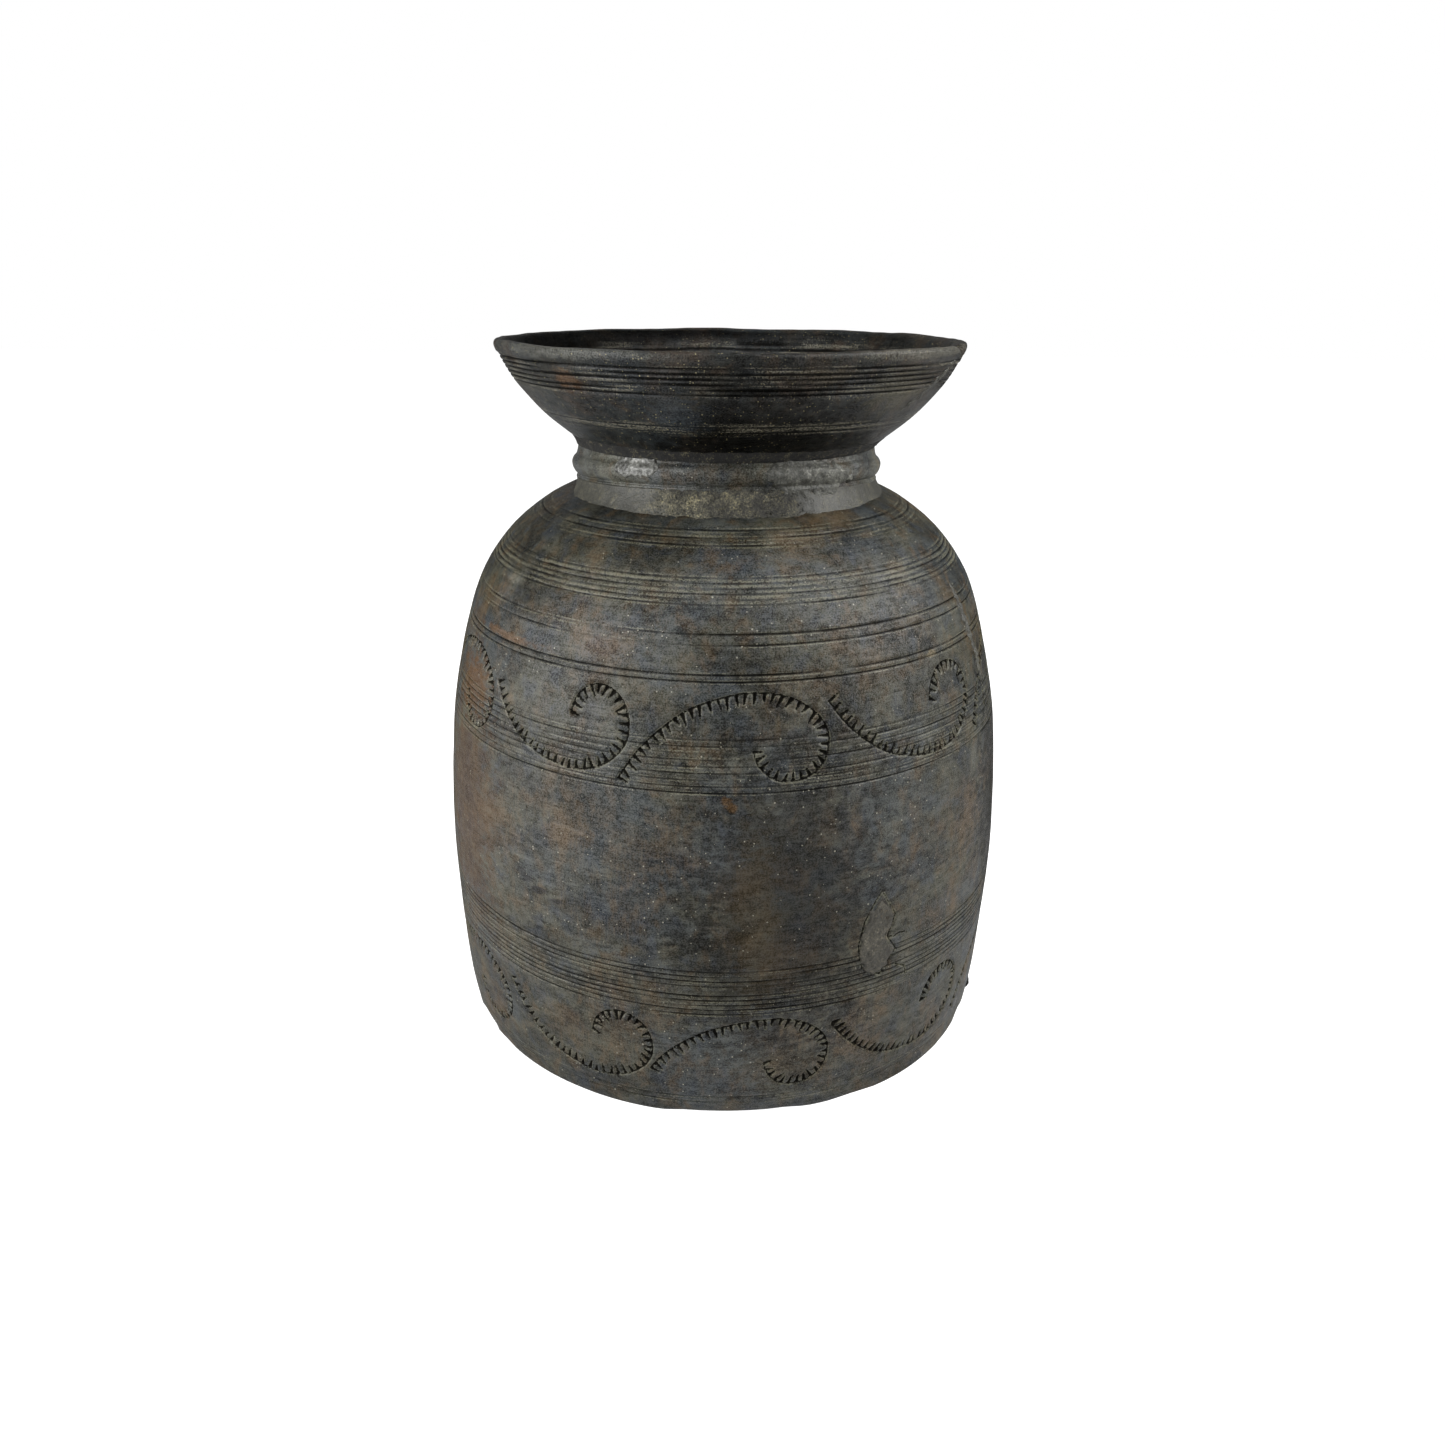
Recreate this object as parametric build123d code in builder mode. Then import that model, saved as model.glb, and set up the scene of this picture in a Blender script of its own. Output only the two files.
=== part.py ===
# A big-bellied wooden pot in three turned pieces, with the mastic and resin that hold and mend them.
# Millimetres, +Z up, origin in the middle of the resting face. Angles are in degrees round the pot,
# counted from the front (-Y) towards the right (+X).
import os
from math import cos, hypot, radians, sin

from build123d import *

os.makedirs("parts", exist_ok=True)

# Driving dimensions
total_height = 381.0        # resting face to lip
belly_radius = 161.9        # widest, a little under half way up
foot_radius = 154.5         # edge of the resting face
foot_rounding = 1.5
shoulder_height = 303.5     # where the shoulder meets the collar
shoulder_radius = 84.5

floor_thickness = 16.0
cavity_floor_radius = 118.0
shell_throat = 62.0         # radii of the way in, each piece a little narrower than the one below
collar_throat = 60.0
bowl_throat = 58.0

collar_tilt = 4.0           # the collar sits tipped back, its front edge high
collar_shift = 1.0          # the collar and the bowl stand a little to the right of the belly's axis
bowl_shift = 2.5
collar_spigot_radius = 73.0
collar_spigot_foot = 284.0
bead_height = 316.4
bead_radius = 84.0
neck_radius = 80.7

bowl_foot_height = 329.0
bowl_spigot_radius = 71.0
bowl_spigot_foot = 315.0
lip_radius = 123.8
lip_inner_radius = 115.0
lip_band = 6.4              # the smooth band under the lip

groove_width = 1.6
groove_depth = 0.9
skin = 0.9                  # how proud the collar's patches stand
patch_depth = 7.0           # how deep the leaf-shaped patch is let in
shoulder_crack_depth = 31.0  # deep enough to pass right through each wall
bowl_crack_depth = 44.0
smear_depth = 24.0
crack_radius = 141.0        # of the shoulder where its crack runs
lump_radius = 3.4
lump_angle = 73.0
lump_height = 10.0

belly_side = [
    (foot_radius, 0), (158.6, 24), (161.2, 70), (belly_radius, 102), (160.7, 132), (158.5, 161),
    (154.9, 190), (145.7, 229), (135.3, 258), (119.4, 280), (100.8, 295), (shoulder_radius, shoulder_height),
]
cavity_side = [
    (cavity_floor_radius, floor_thickness), (141, 40), (147.5, 102), (144, 160), (131, 225), (106, 262),
    (shell_throat, 276),
]
# The collar's outside: radius, and height from the middle of the bead
collar_foot = shoulder_height - bead_height - 4
collar_top = bowl_foot_height - bead_height + 9
collar_side = [
    (81.6, collar_foot), (82.1, -7.4), (83.0, -3.6), (bead_radius, 0), (82.7, 3.6), (neck_radius, 8),
    (80.9, collar_top),
]
bowl_outside = [
    (79.5, bowl_foot_height), (88.0, 334.5), (101.0, 345.4), (113.4, 359.9), (119.8, 370.7),
    (121.6, total_height - lip_band),
]
bowl_inside = [
    (bowl_throat, 333), (76, 341), (95, 354), (108, 367), (lip_inner_radius, total_height - 2),
]

belly_grooves = [297.7, 294.9, 292.2, 257.8, 253.2, 240.3, 237.6]
belly_grooves += [280.2 - 2.1 * line for line in range(6)]
belly_grooves += [211.3 - 3.1 * line for line in range(9)]
belly_grooves += [92.4 - 2.85 * line for line in range(10)]
belly_grooves += [12.7, 9.0]
bowl_grooves = [373.6 - 2.3 * line for line in range(6)] + [346.0, 343.0]

# Sections of the mastic, which the wood on both sides trims
bowl_joint_section = [(72, 321), (81.5, 321), (82.6, 327), (84.6, 331), (88.6, 334.6), (72, 334.6)]
collar_foot_section = [
    (76, 296), (96, 296), (92.5, 301), (88.5, 305), (85.8, 310), (84.6, 315), (76, 315),
]
collar_foot_start = -80     # the mastic round the collar's foot runs half way round, over the front
collar_foot_sweep = 180

# Outlines of the mends: angle and height round each one
patch_outline = [
    (29.6, 125.5), (26.0, 112), (25.2, 97), (26.2, 84), (30.2, 78), (33.6, 90), (31.2, 99), (33.0, 111),
]
shoulder_crack_outline = [
    (61.0, 262), (62.0, 263), (64.0, 243), (66.0, 226), (66.5, 212), (65.4, 212), (64.6, 226), (62.4, 242),
]
bowl_crack_outline = [
    (68.5, 382), (72.0, 382), (67.5, 371), (60.0, 361), (53.0, 351), (51.5, 352), (58.0, 363), (65.0, 372),
]
left_smear_outline = [(-41, 319), (-39, 327), (-31, 331), (-25, 329), (-23, 322), (-29, 317)]
right_smear_outline = [
    (12, 326), (14, 315), (19, 309), (33, 307), (46, 311), (49, 319), (44, 326), (30, 330), (18, 330),
]


def facing(angle):
    """The upright plane through the belly's axis that faces outwards at an angle."""
    turn = radians(angle)
    return Plane(origin=(0, 0, 0), x_dir=(cos(turn), sin(turn), 0), z_dir=(sin(turn), -cos(turn), 0))


def radial(angle):
    """The upright plane through the belly's axis whose x runs outwards at an angle."""
    turn = radians(angle)
    return Plane(origin=(0, 0, 0), x_dir=(sin(turn), -cos(turn), 0), z_dir=(-cos(turn), -sin(turn), 0))


def plug(outline, radius, depth):
    """A prism from a depth under a surface to well outside it. Its outline lies on that surface."""
    turns = [turn for turn, height in outline]
    middle = (min(turns) + max(turns)) / 2
    points = [(radius * sin(radians(turn - middle)), height) for turn, height in outline]
    beyond = 20
    with BuildPart() as prism:
        with BuildSketch(facing(middle).offset(radius - depth)):
            with BuildLine():
                Polyline(*points, close=True)
            make_face()
        extrude(amount=depth + beyond)
    return prism.part


def groove_triangles(side, heights):
    """Corners of one V cut per height, each square to the outline it is cut into, 0.2 mm clear of it."""
    steps = 600
    samples = [side @ (step / steps) for step in range(steps + 1)]
    triangles = []
    for height in heights:
        nearest = min(range(1, steps), key=lambda step: abs(samples[step].Y - height))
        here, ahead = samples[nearest], samples[nearest + 1]
        run, rise = ahead.X - here.X, ahead.Y - here.Y
        length = hypot(run, rise)
        along = (run / length, rise / length)
        out = (along[1], -along[0])
        triangles.append([
            (here.X + reach * along[0] + depth * out[0], here.Y + reach * along[1] + depth * out[1])
            for reach, depth in ((0, -groove_depth), (groove_width / 2, 0.2), (-groove_width / 2, 0.2))
        ])
    return triangles


# Profiles are drawn in the XZ plane and turned about these axes.
belly_axis = Axis((0, 0, 0), (0, 0, 1))
bowl_plane = Plane(origin=(bowl_shift, 0, 0), x_dir=(1, 0, 0), z_dir=(0, -1, 0))
bowl_axis = Axis((bowl_shift, 0, 0), (0, 0, 1))
tilt = radians(collar_tilt)
collar_up = (0, sin(tilt), cos(tilt))
collar_plane = Plane(
    origin=(collar_shift, 0, bead_height), x_dir=(1, 0, 0), z_dir=(0, -cos(tilt), sin(tilt))
)
collar_axis = Axis((collar_shift, 0, bead_height), collar_up)

# The belly as a plain turned solid, from which the shell and the mends in it are cut
with BuildPart() as belly_block:
    with BuildSketch(Plane.XZ):
        with BuildLine():
            Line((0, 0), belly_side[0])
            belly_outline = Spline(*belly_side)
            Line(belly_side[-1], (0, shoulder_height))
            Line((0, shoulder_height), (0, 0))
        make_face()
    revolve(axis=belly_axis)
    chamfer(belly_block.edges().group_by(Axis.Z)[0], length=foot_rounding)

# The bowl as a plain turned solid with its spigot
with BuildPart() as bowl_block:
    with BuildSketch(bowl_plane):
        with BuildLine():
            Polyline((0, bowl_spigot_foot), (bowl_spigot_radius, bowl_spigot_foot),
                     (bowl_spigot_radius, bowl_foot_height), bowl_outside[0])
            bowl_outline = Spline(*bowl_outside)
            Polyline(bowl_outside[-1], (lip_radius - 0.8, total_height - lip_band + 1.0),
                     (lip_radius, total_height - 2.5), (lip_radius - 2.0, total_height),
                     (0, total_height), (0, bowl_spigot_foot))
        make_face()
    revolve(axis=bowl_axis)


def collar_solid(proud):
    """The collar's outer shape and its lower spigot, with the ring standing proud by an amount."""
    spigot = collar_spigot_foot - bead_height
    side = [(radius + proud, height) for radius, height in collar_side]
    with BuildPart() as block:
        with BuildSketch(collar_plane):
            with BuildLine():
                Polyline((0, spigot), (collar_spigot_radius, spigot),
                         (collar_spigot_radius, collar_foot), side[0])
                Spline(*side)
                Polyline(side[-1], (0, collar_top), (0, spigot))
            make_face()
        revolve(axis=collar_axis)
    return block.part


collar_block = collar_solid(0)
collar_skin = collar_solid(skin)

# The belly hollowed and bored for the collar, before its lines are cut
with BuildPart() as belly_hollow:
    add(belly_block.part)
    with BuildSketch(Plane.XZ):
        with BuildLine():
            Line((0, floor_thickness), cavity_side[0])
            Spline(*cavity_side)
            Polyline(cavity_side[-1], (shell_throat, shoulder_height + 1), (0, shoulder_height + 1),
                     (0, floor_thickness))
        make_face()
    revolve(axis=belly_axis, mode=Mode.SUBTRACT)
    add(collar_block, mode=Mode.SUBTRACT)

# The bowl hollowed, before its lines are cut
with BuildPart() as bowl_hollow:
    add(bowl_block.part)
    with BuildSketch(bowl_plane):
        with BuildLine():
            Polyline((0, bowl_spigot_foot - 1), (bowl_throat, bowl_spigot_foot - 1), bowl_inside[0])
            Spline(*bowl_inside)
            Polyline(bowl_inside[-1], (lip_inner_radius + 1, total_height + 1), (0, total_height + 1),
                     (0, bowl_spigot_foot - 1))
        make_face()
    revolve(axis=bowl_axis, mode=Mode.SUBTRACT)

# Mends let into the wood: a leaf-shaped patch, and two cracks packed with filler right through the wall
patch_pocket = plug(patch_outline, belly_radius, patch_depth)
with BuildPart() as belly_patch:
    add(patch_pocket)
    add(belly_block.part, mode=Mode.INTERSECT)

shoulder_crack = plug(shoulder_crack_outline, crack_radius, shoulder_crack_depth)
with BuildPart() as shoulder_crack_fill:
    add(shoulder_crack)
    add(belly_hollow.part, mode=Mode.INTERSECT)

bowl_crack = plug(bowl_crack_outline, lip_radius, bowl_crack_depth)
with BuildPart() as bowl_crack_fill:
    add(bowl_crack)
    add(bowl_hollow.part, mode=Mode.INTERSECT)

# The mouth: a flared bowl with a hollow spigot that stands in the collar
with BuildPart() as mouth_bowl:
    add(bowl_hollow.part)
    with BuildSketch(bowl_plane):
        for corners in groove_triangles(bowl_outline, bowl_grooves):
            with BuildLine():
                Polyline(*corners, close=True)
            make_face()
    revolve(axis=bowl_axis, mode=Mode.SUBTRACT)
    add(bowl_crack, mode=Mode.SUBTRACT)

# The collar: a beaded ring, seated in the shoulder and carved out on top for the bowl
with BuildPart() as neck_collar:
    add(collar_block)
    with Locations(collar_plane):
        Cylinder(collar_throat, 4 * collar_spigot_radius, rotation=(90, 0, 0), mode=Mode.SUBTRACT)
    add(bowl_block.part, mode=Mode.SUBTRACT)

# The belly: one hollowed shell with its turned lines and a pocket for each mend
with BuildPart() as belly_shell:
    add(belly_hollow.part)
    with BuildSketch(Plane.XZ):
        for corners in groove_triangles(belly_outline, belly_grooves):
            with BuildLine():
                Polyline(*corners, close=True)
            make_face()
    revolve(axis=belly_axis, mode=Mode.SUBTRACT)
    add(patch_pocket, mode=Mode.SUBTRACT)
    add(shoulder_crack, mode=Mode.SUBTRACT)

# Mastic packed round both joints of the collar
with BuildPart() as bowl_joint_filler:
    with BuildSketch(bowl_plane):
        with BuildLine():
            Polyline(*bowl_joint_section, close=True)
        make_face()
    revolve(axis=bowl_axis)
    add(bowl_block.part, mode=Mode.SUBTRACT)
    add(collar_block, mode=Mode.SUBTRACT)

with BuildPart() as collar_foot_filler:
    with BuildSketch(radial(collar_foot_start)):
        with BuildLine():
            Polyline(*collar_foot_section, close=True)
        make_face()
    revolve(axis=belly_axis, revolution_arc=collar_foot_sweep)
    add(belly_block.part, mode=Mode.SUBTRACT)
    add(collar_block, mode=Mode.SUBTRACT)

# Thin patches smeared over the collar's bead
with BuildPart() as collar_patch_left:
    add(plug(left_smear_outline, bead_radius, smear_depth))
    add(collar_skin, mode=Mode.INTERSECT)
    for neighbour in (collar_block, bowl_block.part, bowl_joint_filler.part):
        add(neighbour, mode=Mode.SUBTRACT)

with BuildPart() as collar_patch_right:
    add(plug(right_smear_outline, bead_radius, smear_depth))
    add(collar_skin, mode=Mode.INTERSECT)
    for neighbour in (collar_block, bowl_block.part, belly_block.part, bowl_joint_filler.part,
                      collar_foot_filler.part):
        add(neighbour, mode=Mode.SUBTRACT)

# A drop of resin that set near the foot, on the right
lump_turn = radians(lump_angle)
lump_reach = foot_radius + 2
with BuildPart() as resin_lump:
    with Locations((lump_reach * sin(lump_turn), -lump_reach * cos(lump_turn), lump_height)):
        Sphere(lump_radius)
    add(belly_block.part, mode=Mode.SUBTRACT)

pieces = {
    "belly_shell": belly_shell, "neck_collar": neck_collar, "mouth_bowl": mouth_bowl,
    "collar_foot_filler": collar_foot_filler, "bowl_joint_filler": bowl_joint_filler,
    "collar_patch_left": collar_patch_left, "collar_patch_right": collar_patch_right,
    "belly_patch": belly_patch, "shoulder_crack_fill": shoulder_crack_fill,
    "bowl_crack_fill": bowl_crack_fill, "resin_lump": resin_lump,
}
for name, piece in pieces.items():
    piece.part.label = name
    export_step(piece.part, f"parts/{name}.step")
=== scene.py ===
import math
import bmesh
import bpy
import numpy as np
from mathutils import Euler, Matrix, Vector, noise


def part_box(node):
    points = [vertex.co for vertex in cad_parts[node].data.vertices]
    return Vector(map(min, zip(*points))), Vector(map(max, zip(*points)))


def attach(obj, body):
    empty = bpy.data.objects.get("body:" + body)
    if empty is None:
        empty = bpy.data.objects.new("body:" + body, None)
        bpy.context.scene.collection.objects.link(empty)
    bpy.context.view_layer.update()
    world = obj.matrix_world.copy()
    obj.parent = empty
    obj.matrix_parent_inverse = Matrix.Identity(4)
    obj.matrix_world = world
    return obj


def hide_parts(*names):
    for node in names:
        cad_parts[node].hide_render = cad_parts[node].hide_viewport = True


# A smoke-blackened wooden pot: three turned pieces, packed and mended with mastic and pitch.
# Lengths are in metres; mm turns millimetres into them. Angles are degrees from the front
# (-Y) towards the right (+X).

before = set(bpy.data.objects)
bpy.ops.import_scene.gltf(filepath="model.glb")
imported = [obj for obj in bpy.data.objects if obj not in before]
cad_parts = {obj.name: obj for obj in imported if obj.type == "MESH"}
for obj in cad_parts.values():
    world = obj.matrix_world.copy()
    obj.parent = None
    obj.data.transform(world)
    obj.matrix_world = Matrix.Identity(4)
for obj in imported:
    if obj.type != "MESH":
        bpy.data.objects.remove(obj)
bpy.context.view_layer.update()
mm = 0.001
shellLow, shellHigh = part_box("belly_shell")
bowlLow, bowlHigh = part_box("mouth_bowl")
bellyRadius = (shellHigh.x - shellLow.x) / 2
bowlCentre = (bowlLow.x + bowlHigh.x) / 2


# Small helpers that every piece uses.

def linear(hexColour):
    # sRGB hex to the linear colour that the shaders want
    channels = [int(hexColour[i:i + 2], 16) / 255 for i in (1, 3, 5)]
    return tuple(c / 12.92 if c <= 0.04045 else ((c + 0.055) / 1.055) ** 2.4 for c in channels) + (1.0,)


def addNode(tree, kind, settings=None, inputs=None):
    # adds a node; inputs holds a plain value or the socket to link for each name or number
    node = tree.nodes.new(kind)
    for name, value in (settings or {}).items():
        setattr(node, name, value)
    for name, value in (inputs or {}).items():
        if isinstance(value, bpy.types.NodeSocket):
            tree.links.new(value, node.inputs[name])
        else:
            node.inputs[name].default_value = value
    return node


def smoothLine(points, perSpan):
    # a soft line through the points, with perSpan steps between each two (Catmull-Rom)
    pts = np.array(points, float)
    pts = np.vstack([2 * pts[0] - pts[1], pts, 2 * pts[-1] - pts[-2]])
    line = []
    for a, b, c, d in zip(pts, pts[1:], pts[2:], pts[3:]):
        for step in range(perSpan):
            t = step / perSpan
            line.append(0.5 * (2 * b + (c - a) * t + (2 * a - 5 * b + 4 * c - d) * t ** 2
                               + (3 * b - 3 * c + d - a) * t ** 3))
    return np.array(line + [pts[-2]])


def around(angle, radius, height, centre=(0.0, 0.0)):
    # the point at an angle round an upright axis
    turn = math.radians(angle)
    return Vector((centre[0] + radius * math.sin(turn), centre[1] - radius * math.cos(turn), height))


def drift(angle, height, size, seed):
    # smooth noise from -1 to 1 that closes round the pot; size is how wide its lumps are
    reach = bellyRadius / size
    turn = math.radians(angle)
    return noise.noise(
        Vector((math.sin(turn) * reach, math.cos(turn) * reach + seed * 7.3, height / size)))


def smoothstep(low, high, value):
    t = min(1.0, max(0.0, (value - low) / (high - low)))
    return t * t * (3 - 2 * t)


def makeObject(name, verts, faces, material):
    mesh = bpy.data.meshes.new(name)
    mesh.from_pydata([tuple(v) for v in verts], [], faces)
    mesh.materials.append(material)
    mesh.shade_smooth()
    piece = bpy.data.objects.new(name, mesh)
    bpy.context.scene.collection.objects.link(piece)
    return piece


def turnOutwards(piece):
    # merges doubles, then points every face outwards
    work = bmesh.new()
    work.from_mesh(piece.data)
    bmesh.ops.remove_doubles(work, verts=work.verts, dist=0.002 * mm)
    bmesh.ops.recalc_face_normals(work, faces=work.faces)
    work.to_mesh(piece.data)
    work.free()
    piece.data.shade_smooth()


def modifierInput(modifier, name, value):
    for item in modifier.node_group.interface.items_tree:
        if item.item_type == "SOCKET" and item.in_out == "INPUT" and item.name == name:
            modifier[item.identifier] = value


def applyNodes(piece, tree, values):
    # runs a geometry tree on a piece and keeps the result as its plain mesh
    modifier = piece.modifiers.new("shape", "NODES")
    modifier.node_group = tree
    for name, value in values.items():
        modifierInput(modifier, name, value)
    evaluated = piece.evaluated_get(bpy.context.evaluated_depsgraph_get())
    mesh = bpy.data.meshes.new_from_object(evaluated)
    piece.modifiers.remove(modifier)
    piece.data = mesh
    mesh.shade_smooth()


def finishPiece(piece, node):
    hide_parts(node)
    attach(piece, "root")


def latheRings(outline, columns, shape):
    # rings of points round the axis; shape(angle, radius, height, step) gives each place
    verts, faces = [], []
    for step, (radius, height) in enumerate(outline):
        for column in range(columns):
            verts.append(shape(360 * column / columns, radius, height, step))
    for step in range(len(outline) - 1):
        for column in range(columns):
            after = (column + 1) % columns
            low, high = step * columns, (step + 1) * columns
            faces.append((low + column, low + after, high + after, high + column))
    return verts, faces


# The finishes: blackened wood, and the fillers that mend it.

def blackenedWood(name, look, marks, surfaceAt, centre=(0.0, 0.0)):
    # Turned hardwood, smoked black and rubbed with oil: fine lathe lines run round it, brown wood
    # shows where hands have rubbed, and pale dust sits in its pores. Half-gloss, never a mirror.
    material = bpy.data.materials.new(name)
    material.use_nodes = True
    tree = material.node_tree
    tree.nodes.clear()
    place = addNode(tree, "ShaderNodeTexCoord").outputs["Object"]

    def stretched(across, up, shift=0.0):
        # the place on the piece, scaled so that noise has lumps this wide and this tall in mm
        scale = (1 / (across * mm), 1 / (across * mm), 1 / (up * mm))
        return addNode(tree, "ShaderNodeMapping", None,
                       {"Vector": place, "Scale": scale, "Location": (shift, shift, shift)}).outputs[0]

    def cloud(vector, detail, rough=0.55, warp=0.0):
        return addNode(tree, "ShaderNodeTexNoise", None,
                       {"Vector": vector, "Scale": 1.0, "Detail": detail, "Roughness": rough,
                        "Distortion": warp}).outputs["Fac"]

    def remap(value, low, high, toLow=0.0, toHigh=1.0):
        return addNode(tree, "ShaderNodeMapRange", {"interpolation_type": "SMOOTHSTEP"},
                       {"Value": value, "From Min": low, "From Max": high, "To Min": toLow,
                        "To Max": toHigh}).outputs[0]

    def blend(amount, first, second, how="MIX"):
        return addNode(tree, "ShaderNodeMix", {"data_type": "RGBA", "blend_type": how},
                       {0: amount, 6: first, 7: second}).outputs[2]

    def sums(kind, first, second):
        return addNode(tree, "ShaderNodeMath", {"operation": kind}, {0: first, 1: second}).outputs[0]

    def stored(attribute):
        return addNode(tree, "ShaderNodeAttribute", {"attribute_name": attribute}).outputs["Fac"]

    streaks = cloud(stretched(look["streakLength"], look["streakHeight"]), 4)
    hairlines = cloud(stretched(11, 0.5, 3.1), 3)
    fibres = cloud(stretched(0.8, 22, 9.7), 3)
    grit = cloud(stretched(0.8, 0.7, 5.3), 4, 0.75)
    dabs = cloud(stretched(5.5, 3.6, 6.6), 4, 0.6, 0.6)
    mottle = cloud(stretched(26, 20, 1.7), 6, 0.62, 0.5)
    patches = cloud(stretched(70, 48, 4.4), 4, 0.55, 0.8)
    worn = cloud(stretched(40, 46, 8.2), 6, 0.66, 0.4)
    smoke = cloud(stretched(9, 15, 7.1), 4, 0.6, 0.5)

    colour = blend(remap(mottle, 0.33, 0.68), linear(look["dark"]), linear(look["mid"]))
    cool = sums("MULTIPLY", remap(patches, 0.46, 0.64), look["coolAmount"])
    colour = blend(cool, colour, linear(look["cool"]))
    colour = blend(remap(smoke, 0.5, 0.7, 0.0, look["smokeAmount"]), colour, linear(look["blue"]))
    colour = blend(remap(smoke, 0.3, 0.5, look["smokeAmount"], 0.0), colour, linear(look["brown"]))
    rubbed = remap(sums("ADD", worn, sums("MULTIPLY", fibres, 0.2)), look["wornFrom"], look["wornTo"])
    colour = blend(sums("MULTIPLY", rubbed, look["wornAmount"]), colour, linear(look["brown"]))
    for angle, height, wide, tall, tint, amount in marks:
        # a stain, scuff, burn, painted shade or painted highlight: a soft ragged spot round one place
        scale = (1 / (wide * mm), 1 / (wide * mm), 1 / (tall * mm))
        middle = around(angle, surfaceAt(height) * mm, height * mm, centre)
        shifted = addNode(tree, "ShaderNodeVectorMath", {"operation": "SUBTRACT"},
            {0: place, 1: middle}).outputs[0]
        scaled = addNode(tree, "ShaderNodeVectorMath", {"operation": "MULTIPLY"},
            {0: shifted, 1: scale}).outputs[0]
        away = addNode(tree, "ShaderNodeVectorMath", {"operation": "LENGTH"},
            {0: scaled}).outputs["Value"]
        ragged = sums("ADD", away, remap(dabs, 0.25, 0.75, -0.45, 0.45))
        flecked = sums("MULTIPLY", remap(ragged, 0.45, 1.15, amount, 0.0),
            remap(grit, 0.36, 0.56, 0.5, 1.0))
        colour = blend(flecked, colour, linear(tint))

    oiled = 1.0
    for angle, height, wide, tall, amount in look["dry"]:
        # places where the oil has gone and the wood is dull
        scale = (1 / (wide * mm), 1 / (wide * mm), 1 / (tall * mm))
        middle = around(angle, surfaceAt(height) * mm, height * mm, centre)
        shifted = addNode(tree, "ShaderNodeVectorMath", {"operation": "SUBTRACT"},
            {0: place, 1: middle}).outputs[0]
        scaled = addNode(tree, "ShaderNodeVectorMath", {"operation": "MULTIPLY"},
            {0: shifted, 1: scale}).outputs[0]
        away = addNode(tree, "ShaderNodeVectorMath", {"operation": "LENGTH"},
            {0: scaled}).outputs["Value"]
        oiled = sums("MULTIPLY", remap(away, 0.5, 1.3, 1 - amount, 1.0), oiled)

    # light and dark scratches, pores and dabs, as a multiplier
    tone = sums("ADD", remap(hairlines, 0.3, 0.7, -0.07, 0.08), remap(fibres, 0.3, 0.72, 0.95, 1.05))
    tone = sums("ADD", tone, remap(grit, 0.33, 0.7, -look["gritAmount"], look["gritAmount"] * 1.3))
    tone = sums("ADD", tone, remap(dabs, 0.3, 0.7, -0.2, 0.24))
    tone = sums("ADD", tone, remap(mottle, 0.34, 0.68, -0.07, 0.09))
    tone = sums("ADD", tone, remap(streaks, 0.32, 0.74, -0.08, 0.12))
    tone = sums("MAXIMUM", tone, 0.12)
    toneColour = addNode(tree, "ShaderNodeCombineColor", None, {0: tone, 1: tone, 2: tone}).outputs[0]
    colour = blend(1.0, colour, toneColour, "MULTIPLY")

    # pale specks of dust and chipped pores, a fifth of a millimetre to a half across
    dots = addNode(tree, "ShaderNodeTexVoronoi", None,
                   {"Vector": stretched(look["speckSpacing"], look["speckSpacing"], 2.2), "Scale": 1.0})
    speckSize = addNode(tree, "ShaderNodeSeparateColor", None, {0: dots.outputs["Color"]}).outputs[0]
    speck = sums("LESS_THAN", dots.outputs["Distance"],
        sums("MULTIPLY", sums("POWER", speckSize, 3.0), look["speckReach"]))
    speck = sums("MULTIPLY", speck, remap(patches, 0.36, 0.6, 0.3, 1.0))
    colour = blend(sums("MULTIPLY", speck, look["speckAmount"]), colour, linear(look["speck"]))

    # turned lines are darkened inside as painted shade and have crumbled, dusty ridges beside them
    crumbs = remap(grit, 0.3, 0.7, -0.55, 0.5)
    line = remap(sums("ADD", stored("turned"), crumbs), 0.3, 0.75, 0.0, look["turnedDark"])
    ridge = remap(sums("ADD", stored("ridge"), sums("ADD", crumbs, remap(streaks, 0.3, 0.7, -0.4, 0.3))),
        0.6, 1.15)
    colour = blend(sums("MULTIPLY", ridge, look["ridgeAmount"]), colour, linear(look["pale"]))
    colour = blend(line, colour, linear(look["cutShade"]))

    # carved strokes are painted black inside as shade and chipped pale along their edges; the distance is in
    # mm
    away = sums("ADD", stored("carveDistance"), remap(grit, 0.3, 0.7, -0.18, 0.18))
    inside = remap(away, 0.3, 0.62, 1.0, 0.0)
    edge = sums("MULTIPLY", remap(away, 0.6, 1.1, 1.0, 0.0), remap(dabs, 0.4, 0.58))
    colour = blend(sums("MULTIPLY", edge, 0.42), colour, linear(look["pale"]))
    colour = blend(sums("MULTIPLY", inside, 0.95), colour, linear(look["cutShade"]))
    # painted shade: the insides of the pot are darkened, in colour and in gleam
    shade = remap(stored("hollowShade"), 0.0, 1.0, 1.0, look["hollowShadeTone"])
    shadeColour = addNode(tree, "ShaderNodeCombineColor", None, {0: shade, 1: shade, 2: shade}).outputs[0]
    colour = blend(1.0, colour, shadeColour, "MULTIPLY")

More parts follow.
